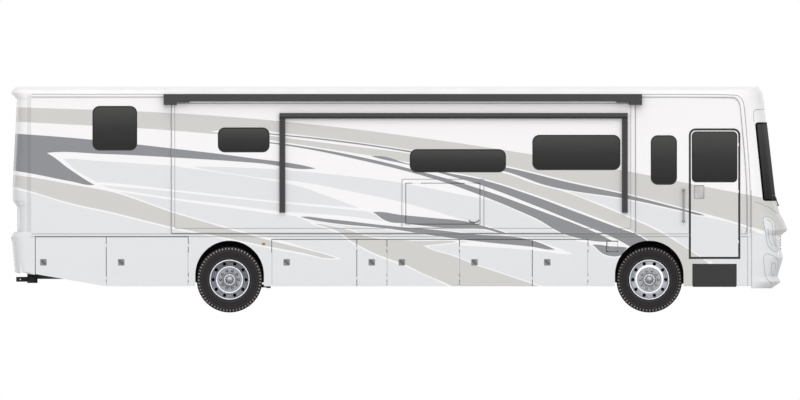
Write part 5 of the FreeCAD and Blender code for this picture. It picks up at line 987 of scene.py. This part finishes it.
lens("clear_polycarbonate_over_reflector", "#cfd3d6", "#f3f5f6", 0.012, "front_lamps")
lens("red_ribbed_acrylic", "#7c0d10", "#b3191c", 0.008, "tail_lamps")
amber_lens = lens("amber_ribbed_acrylic", "#7a5a33", "#94703f", 0.006)
marker = rounded(*box_of(262.1, 265.1, 242.9, 245.1), 0.01)
for word, sign in SIDES:
    block = plate(marker, sign * SIDE, sign * (SIDE + 0.009), (0, 0.6, 0.9, 1))
    piece("side_marker_" + word, [block], "coach", amber_lens)
print("side markers:", len(SIDES))

# %% [markdown]
# Each bay door has a flush paddle latch: a grey moulded cup with a slanting paddle that lies level with
# the panel. The cup floor, its rim and the paddle are plates and a bead, laid over the pocket that the
# door already has. The paddle's outline is a slanted bar through the pocket's middle.

# %% Flush latches
FINE = 0.0015   # grain of moulded nylon, in metres
latch_black = mottled("black_moulded_nylon", "#202020", "#2d2d2d", FINE, 0.00008, {"Roughness": 0.45})
cup_grey = mottled("grey_moulded_nylon", "#8a8b8d", "#98999b", FINE, 0.00008, {"Roughness": 0.5})
paddle_grey = mottled("dark_grey_paddle", "#56585a", "#626466", 0.002, 0.00004, {"Roughness": 0.4})
cup_pale = mottled("pale_moulded_nylon", "#c9c8c5", "#d2d1ce", FINE, 0.00005, {"Roughness": 0.5})
paddle_pale = mottled("pale_paddle", "#bdbcb9", "#c6c5c2", 0.002, 0.00004, {"Roughness": 0.4})
PADDLE = np.array([(-1, 0.25), (0.25, -1), (1, -1), (1, -0.25), (-0.25, 1), (-1, 1)])
PADDLE_MARGIN = 0.0115
CUP_BACK, CUP_FRONT = 0.0098, 0.0088   # depths below the door's face
BAR_BACK, BAR_FRONT = 0.0085, 0.0022


def latch(name, x, z, wide, high, face, sign, body, cup, handle):
    """Cup floor in one colour, rim in grey sealant, paddle in the other, centred on x and z at a door's face."""
    def pocket(inset, corner):
        return rounded(x - wide / 2 + inset, x + wide / 2 - inset, z - high / 2 + inset, z + high / 2 - inset,
                       corner, 3)

    rim = bead(pocket(0, 0.008), half_round(0.009, 0.0035) * (1, sign), sign * face)
    paddle = PADDLE * (wide / 2 - PADDLE_MARGIN, high / 2 - PADDLE_MARGIN) + (x, z)
    bar = plate(paddle, sign * (face - BAR_BACK), sign * (face - BAR_FRONT), (0, 0.94, 1))
    cup_floor = plate(pocket(0.001, 0.006), sign * (face - CUP_BACK), sign * (face - CUP_FRONT))
    piece(name + "_cup", [cup_floor], body, cup)
    piece(name + "_rim", [rim], body, joint_grey)
    piece(name + "_paddle", [bar], body, handle)


LATCH_HEIGHT, LATCH_SIZE = 0.778, 0.092
LATCHES = {"right": [-5.5095, -4.3035, -1.7385, -0.4195, 0.0465, 1.1715, 2.3005],
           "left": [-5.5095, -4.3035, -1.7385, 0.0465, 1.1715]}
DOOR_FACE = SIDE + 0.004
for word, sign in SIDES:
    for number, x in enumerate(LATCHES[word], 1):
        latch(f"latch_{word}_{number}", x, LATCH_HEIGHT, LATCH_SIZE, LATCH_SIZE, SIDE, sign,
              f"{word}_bay_{number}", cup_grey, paddle_grey)
latch("latch_entry", 4.6545, 1.868, 0.152, 0.204, DOOR_FACE, -1, "entry", cup_pale, paddle_pale)
print("latches:", len(LATCHES["right"]) + len(LATCHES["left"]) + 1)

# %% [markdown]
# The entry door's window takes the whole upper half of the door. A thin bright edge shows between its
# glass and the black frame, where the door skin folds over. The pane's own outline has smaller corners at
# its foot than at its head, so it is built from four quarter circles of different size.

# %% Entry door window and hatch handle
def four_corners(x0, x1, z0, z1, foot, head):
    """Outline of a rectangle with one radius at its foot and another at its head."""
    whole = [rounded(x0, x1, z0, z1, corner).reshape(4, -1, 2) for corner in (head, head, foot, foot)]
    return np.concatenate([whole[number][number] for number in range(4)])


door_glass = four_corners(4.5468, 5.2402, 2.0243, 2.8007, 0.060, 0.063)
pane("pane_entry", door_glass, -DOOR_FACE, -1, "entry", "entry_door_window")
piece("seal_entry", [bead(door_glass, half_round(0.014, 0.003) * (1, -1), -DOOR_FACE)], "entry",
      seal)
grip = np.array([(468.9, 1.3085, 220.0), (470.5, 1.3125, 221.8), (474, 1.3135, 222.6), (477.5, 1.3125, 221.8),
                 (479.1, 1.3085, 220.0)])
handle_path = np.stack([along(grip[:, 0]), -grip[:, 1], above(grip[:, 2])], 1)
piece("hatch_grip", [tube(handle_path, 0.007)], "hatch", latch_black)
print("entry glass points:", len(door_glass))

# %% [markdown]
# A coach windshield has two wipers that park at its foot. Each is an arm with a blade, laid on the glass:
# their paths are shone onto the windshield from the front, as the lines on the nose were from the side.

# %% Wipers
SCREEN_SKIN = skin("windshield", "front_cap")
# path, lift off the panels, radius and steps of the arm, the blade and the pivot
WIPER = (([(0.12, 1.66), (0.30, 1.75), (0.62, 1.80)], 0.016, 0.008, 10),
         ([(0.22, 1.795), (0.6, 1.80), (1.0, 1.815)], 0.007, 0.006, 10),
         ([(0.12, 1.652), (0.12, 1.668)], 0.010, 0.020, 16))


def laid_front(path, sign, lift):
    """A front-view path of Y and Z shone onto the panels from ahead, plus lift."""
    path = eased(np.array(path) * (sign, 1))
    starts = np.stack([np.full(len(path), 8.0), path[:, 0], path[:, 1]], 1)
    return shone(SCREEN_SKIN, starts, (-1, 0, 0)) + (lift, 0, 0)


for word, sign in SIDES:
    bars = [tube(laid_front(path, sign, lift), radius, around) for path, lift, radius, around in WIPER]
    piece("wiper_" + word, bars, "coach", latch_black)
print("wipers:", len(SIDES), "each of", len(WIPER), "bars")

# %% [markdown]
# The two cab chairs are foam in stitched leather on a steel pedestal. The leather has a fine pebble
# grain, and its tone wanders a little, as hide does.

# %% Leather
leather, tree, surface = material("stitched_seat_leather", {"Roughness": 0.42, "Specular IOR Level": 0.4,
                                                            "Sheen Weight": 0.15})
place = place_on(tree)
pebble = add(tree, "TexVoronoi", {"Vector": place, "Scale": 1 / 0.003}).outputs["Distance"]
tone = add(tree, "TexNoise", {"Vector": place, "Scale": 6.0, "Detail": 3.0}).outputs[0]
feed(surface, "Base Color", ramp(tone, (0.0, "#8b7f71"), (1.0, "#a3978a")))
emboss(surface, pebble, 0.0006, 0.5)
print("materials so far:", len(bpy.data.materials))

# %% [markdown]
# A stuffed cushion is more than a rounded box: the cover is tight, so the foam pushes it out in the middle
# and the corners pull in. Cloth under air pressure gives just that. Each pad starts a little small as a
# carried outline, is remeshed evenly, blown up for twenty frames with its travel limited, and then gets
# its sewn channels.

# %% Pads
FRAMES = 20
VOXEL, PRESSURE = 0.011, 4.0
SWELL = 0.012   # metres that a pad's point moves at most


def carried(outline, middle_y, half, power=5):
    """Carry a side-view outline across Y; at each share t it shrinks to (1 - |t|^power)^(1 / power)."""
    share = np.sin(np.linspace(-1, 1, 17) * np.pi / 2)
    return layers(outline, (1 - np.abs(share) ** power) ** (1 / power), middle_y + share * half)


def blown(pad, limit):
    """Remesh a pad evenly, let pressure swell it, each point by limit metres at most, and smooth it."""
    bpy.context.view_layer.objects.active = pad
    voxels = pad.modifiers.new("voxels", "REMESH")
    voxels.voxel_size = VOXEL
    bpy.ops.object.modifier_apply(modifier="voxels")
    before = points_of(pad.data)
    air = pad.modifiers.new("air", "CLOTH")
    air.settings.use_pressure = True
    air.settings.uniform_pressure_force = PRESSURE
    air.settings.effector_weights.gravity = 0.0
    for number in range(1, FRAMES + 1):
        bpy.context.scene.frame_set(number)
    shown = pad.evaluated_get(bpy.context.evaluated_depsgraph_get())
    move = points_of(shown.data) - before
    pad.modifiers.remove(air)
    bpy.context.scene.frame_set(1)
    far = np.linalg.norm(move, axis=1, keepdims=True)
    after = before + move * np.minimum(1, limit / np.maximum(far, 1e-9))
    pad.data.vertices.foreach_set("co", after.ravel())
    smooth = pad.modifiers.new("smooth", "SUBSURF")
    smooth.levels = smooth.render_levels = 1
    bpy.ops.object.modifier_apply(modifier="smooth")
    pad.data.shade_smooth()


def stitched(pad, middle_y, spots):
    """Sewn channels: towards the pad's middle by 7 mm * exp(-(distance / 9 mm)^2) at each spot in Y."""
    places = points_of(pad.data)
    away = np.min(np.abs(np.abs(places[:, 1] - middle_y)[:, None] - np.asarray(spots)), 1)
    middle = (places.max(0) + places.min(0)) / 2
    inwards = (middle - places) * (1, 0, 1)
    inwards /= np.maximum(np.linalg.norm(inwards, axis=1, keepdims=True), 1e-6)
    sunk = 0.007 * np.exp(-(away / 0.009) ** 2)
    pad.data.vertices.foreach_set("co", (places + inwards * sunk[:, None]).ravel())


print("a pad is blown up for", FRAMES, "frames")

# %% [markdown]
# A chair's outlines are given in X from where its cushion starts and in Z above the ground. Each pad also
# has half its width and the places of its sewn channels, from its middle.

# %% Cab chairs
PADS = {
    "cushion": ([(0.01, 1.572), (0.26, 1.566), (0.50, 1.572), (0.512, 1.63), (0.49, 1.688), (0.26, 1.676),
                 (0.02, 1.686)], 0.245, (0.13,)),
    "back": ([(0.012, 1.70), (0.118, 1.70), (0.124, 1.86), (0.060, 2.05), (0.005, 2.19), (-0.105, 2.19),
              (-0.062, 2.05), (-0.012, 1.86)], 0.235, (0.12,)),
    "headrest": ([(-0.092, 2.232), (-0.008, 2.232), (-0.004, 2.30), (-0.012, 2.358), (-0.088, 2.358),
                  (-0.096, 2.30)], 0.138, ()),
}
ARM = [(0.01, 1.861), (0.36, 1.859), (0.374, 1.878), (0.36, 1.897), (0.01, 1.899)]
PEDESTAL = [(0.075, 1.229), (0.445, 1.229), (0.440, 1.262), (0.36, 1.285), (0.35, 1.50), (0.44, 1.53),
            (0.445, 1.57), (0.075, 1.57), (0.08, 1.53), (0.17, 1.50), (0.16, 1.285), (0.08, 1.262)]
HEADREST_BAR = [(-0.055, 0, 2.16), (-0.052, 0, 2.20), (-0.05, 0, 2.25)]
ARM_BAR = [(0.06, 0, 1.80), (0.062, 0, 1.84), (0.064, 0, 1.868)]


def chair(word, x, y):
    """Pads and hard parts of one chair whose cushion starts at x, with its middle at y."""
    def shaped(outline):
        return eased(np.array(outline) + (x, 0), 2, closed=True)

    def bars(path, apart, radius):
        return [tube(np.array(path) + (x, y + side_y, 0), radius) for side_y in (-apart, apart)]

    parts = []
    for part, (outline, half, spots) in PADS.items():
        pad = piece(f"{word}_{part}", [carried(shaped(outline), y, half)], "coach", leather)
        blown(pad, SWELL)
        if spots:
            stitched(pad, y, spots)
        parts.append(pad)
    arms = [carried(shaped(ARM), y + side_y, 0.027, power=3) for side_y in (-0.277, 0.277)]
    parts.append(piece(word + "_armrests", arms, "coach", leather))
    hard = [carried(shaped(PEDESTAL), y, 0.176, power=9)]
    hard += bars(HEADREST_BAR, 0.06, 0.008) + bars(ARM_BAR, 0.255, 0.016)
    parts.append(piece(word + "_pedestal", hard, "coach", chassis_black))
    return parts


chair_parts = chair("passenger", 3.9945, -0.600) + chair("driver", 4.3335, 0.600)
for made_part in chair_parts:
    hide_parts("cockpit_seats")
print("chair faces:", sum(len(part.data.polygons) for part in chair_parts))

# %% [markdown]
# The studio is a plain pale floor under soft light. The world is white, but only what the camera sees and
# what glass and metal mirror gets its full strength; what lights the coach is lower, so white panels keep
# their tone. A very wide soft lamp shines from behind the camera and above, so edges that turn away go grey.

# %% Stage
AMBIENT, LAMP_POWER = 0.56, 1.32   # what the world's light and the lamp's add to the coach
scene = bpy.context.scene
camera = stood("camera", bpy.data.cameras.new("camera"))
camera.data.type = "ORTHO"
camera.data.ortho_scale = 800 * STEP   # the side view is 800 readings wide and 400 high
camera.location = (along(400), -30, above(200))
camera.rotation_euler = (math.radians(90), 0, 0)
camera.data.clip_end = 200
scene.camera = camera

world = bpy.data.worlds.new("studio")
scene.world = world
world.use_nodes = True
sky = world.node_tree
rays = add(sky, "LightPath").outputs
seen = calc("MAXIMUM", rays["Is Camera Ray"], rays["Is Glossy Ray"])
seen = calc("MAXIMUM", seen, rays["Is Transmission Ray"])
strength = add(sky, "MapRange", {"Value": seen, "To Min": AMBIENT, "To Max": 1.0}).outputs[0]
backdrop = sky.nodes["Background"]
backdrop.inputs["Color"].default_value = (1, 1, 1, 1)
feed(backdrop, "Strength", strength)
scene.view_settings.view_transform = "Standard"

lamp = stood("soft_lamp", bpy.data.lights.new("soft_lamp", "SUN"))
lamp.data.energy = LAMP_POWER
lamp.data.angle = math.radians(70)
lamp.rotation_euler = (math.radians(55), 0, math.radians(4))

floor_mesh = bpy.data.meshes.new("floor")
floor_mesh.from_pydata([(-60, -60, 0), (60, -60, 0), (60, 60, 0), (-60, 60, 0)], [], [(0, 1, 2, 3)])
floor_mesh.materials.append(material("studio_floor", {"Base Color": linear("#e9e9e9"), "Roughness": 0.85})[0])
floor = stood("floor", floor_mesh)
print("camera shows", camera.data.ortho_scale, "m of length")
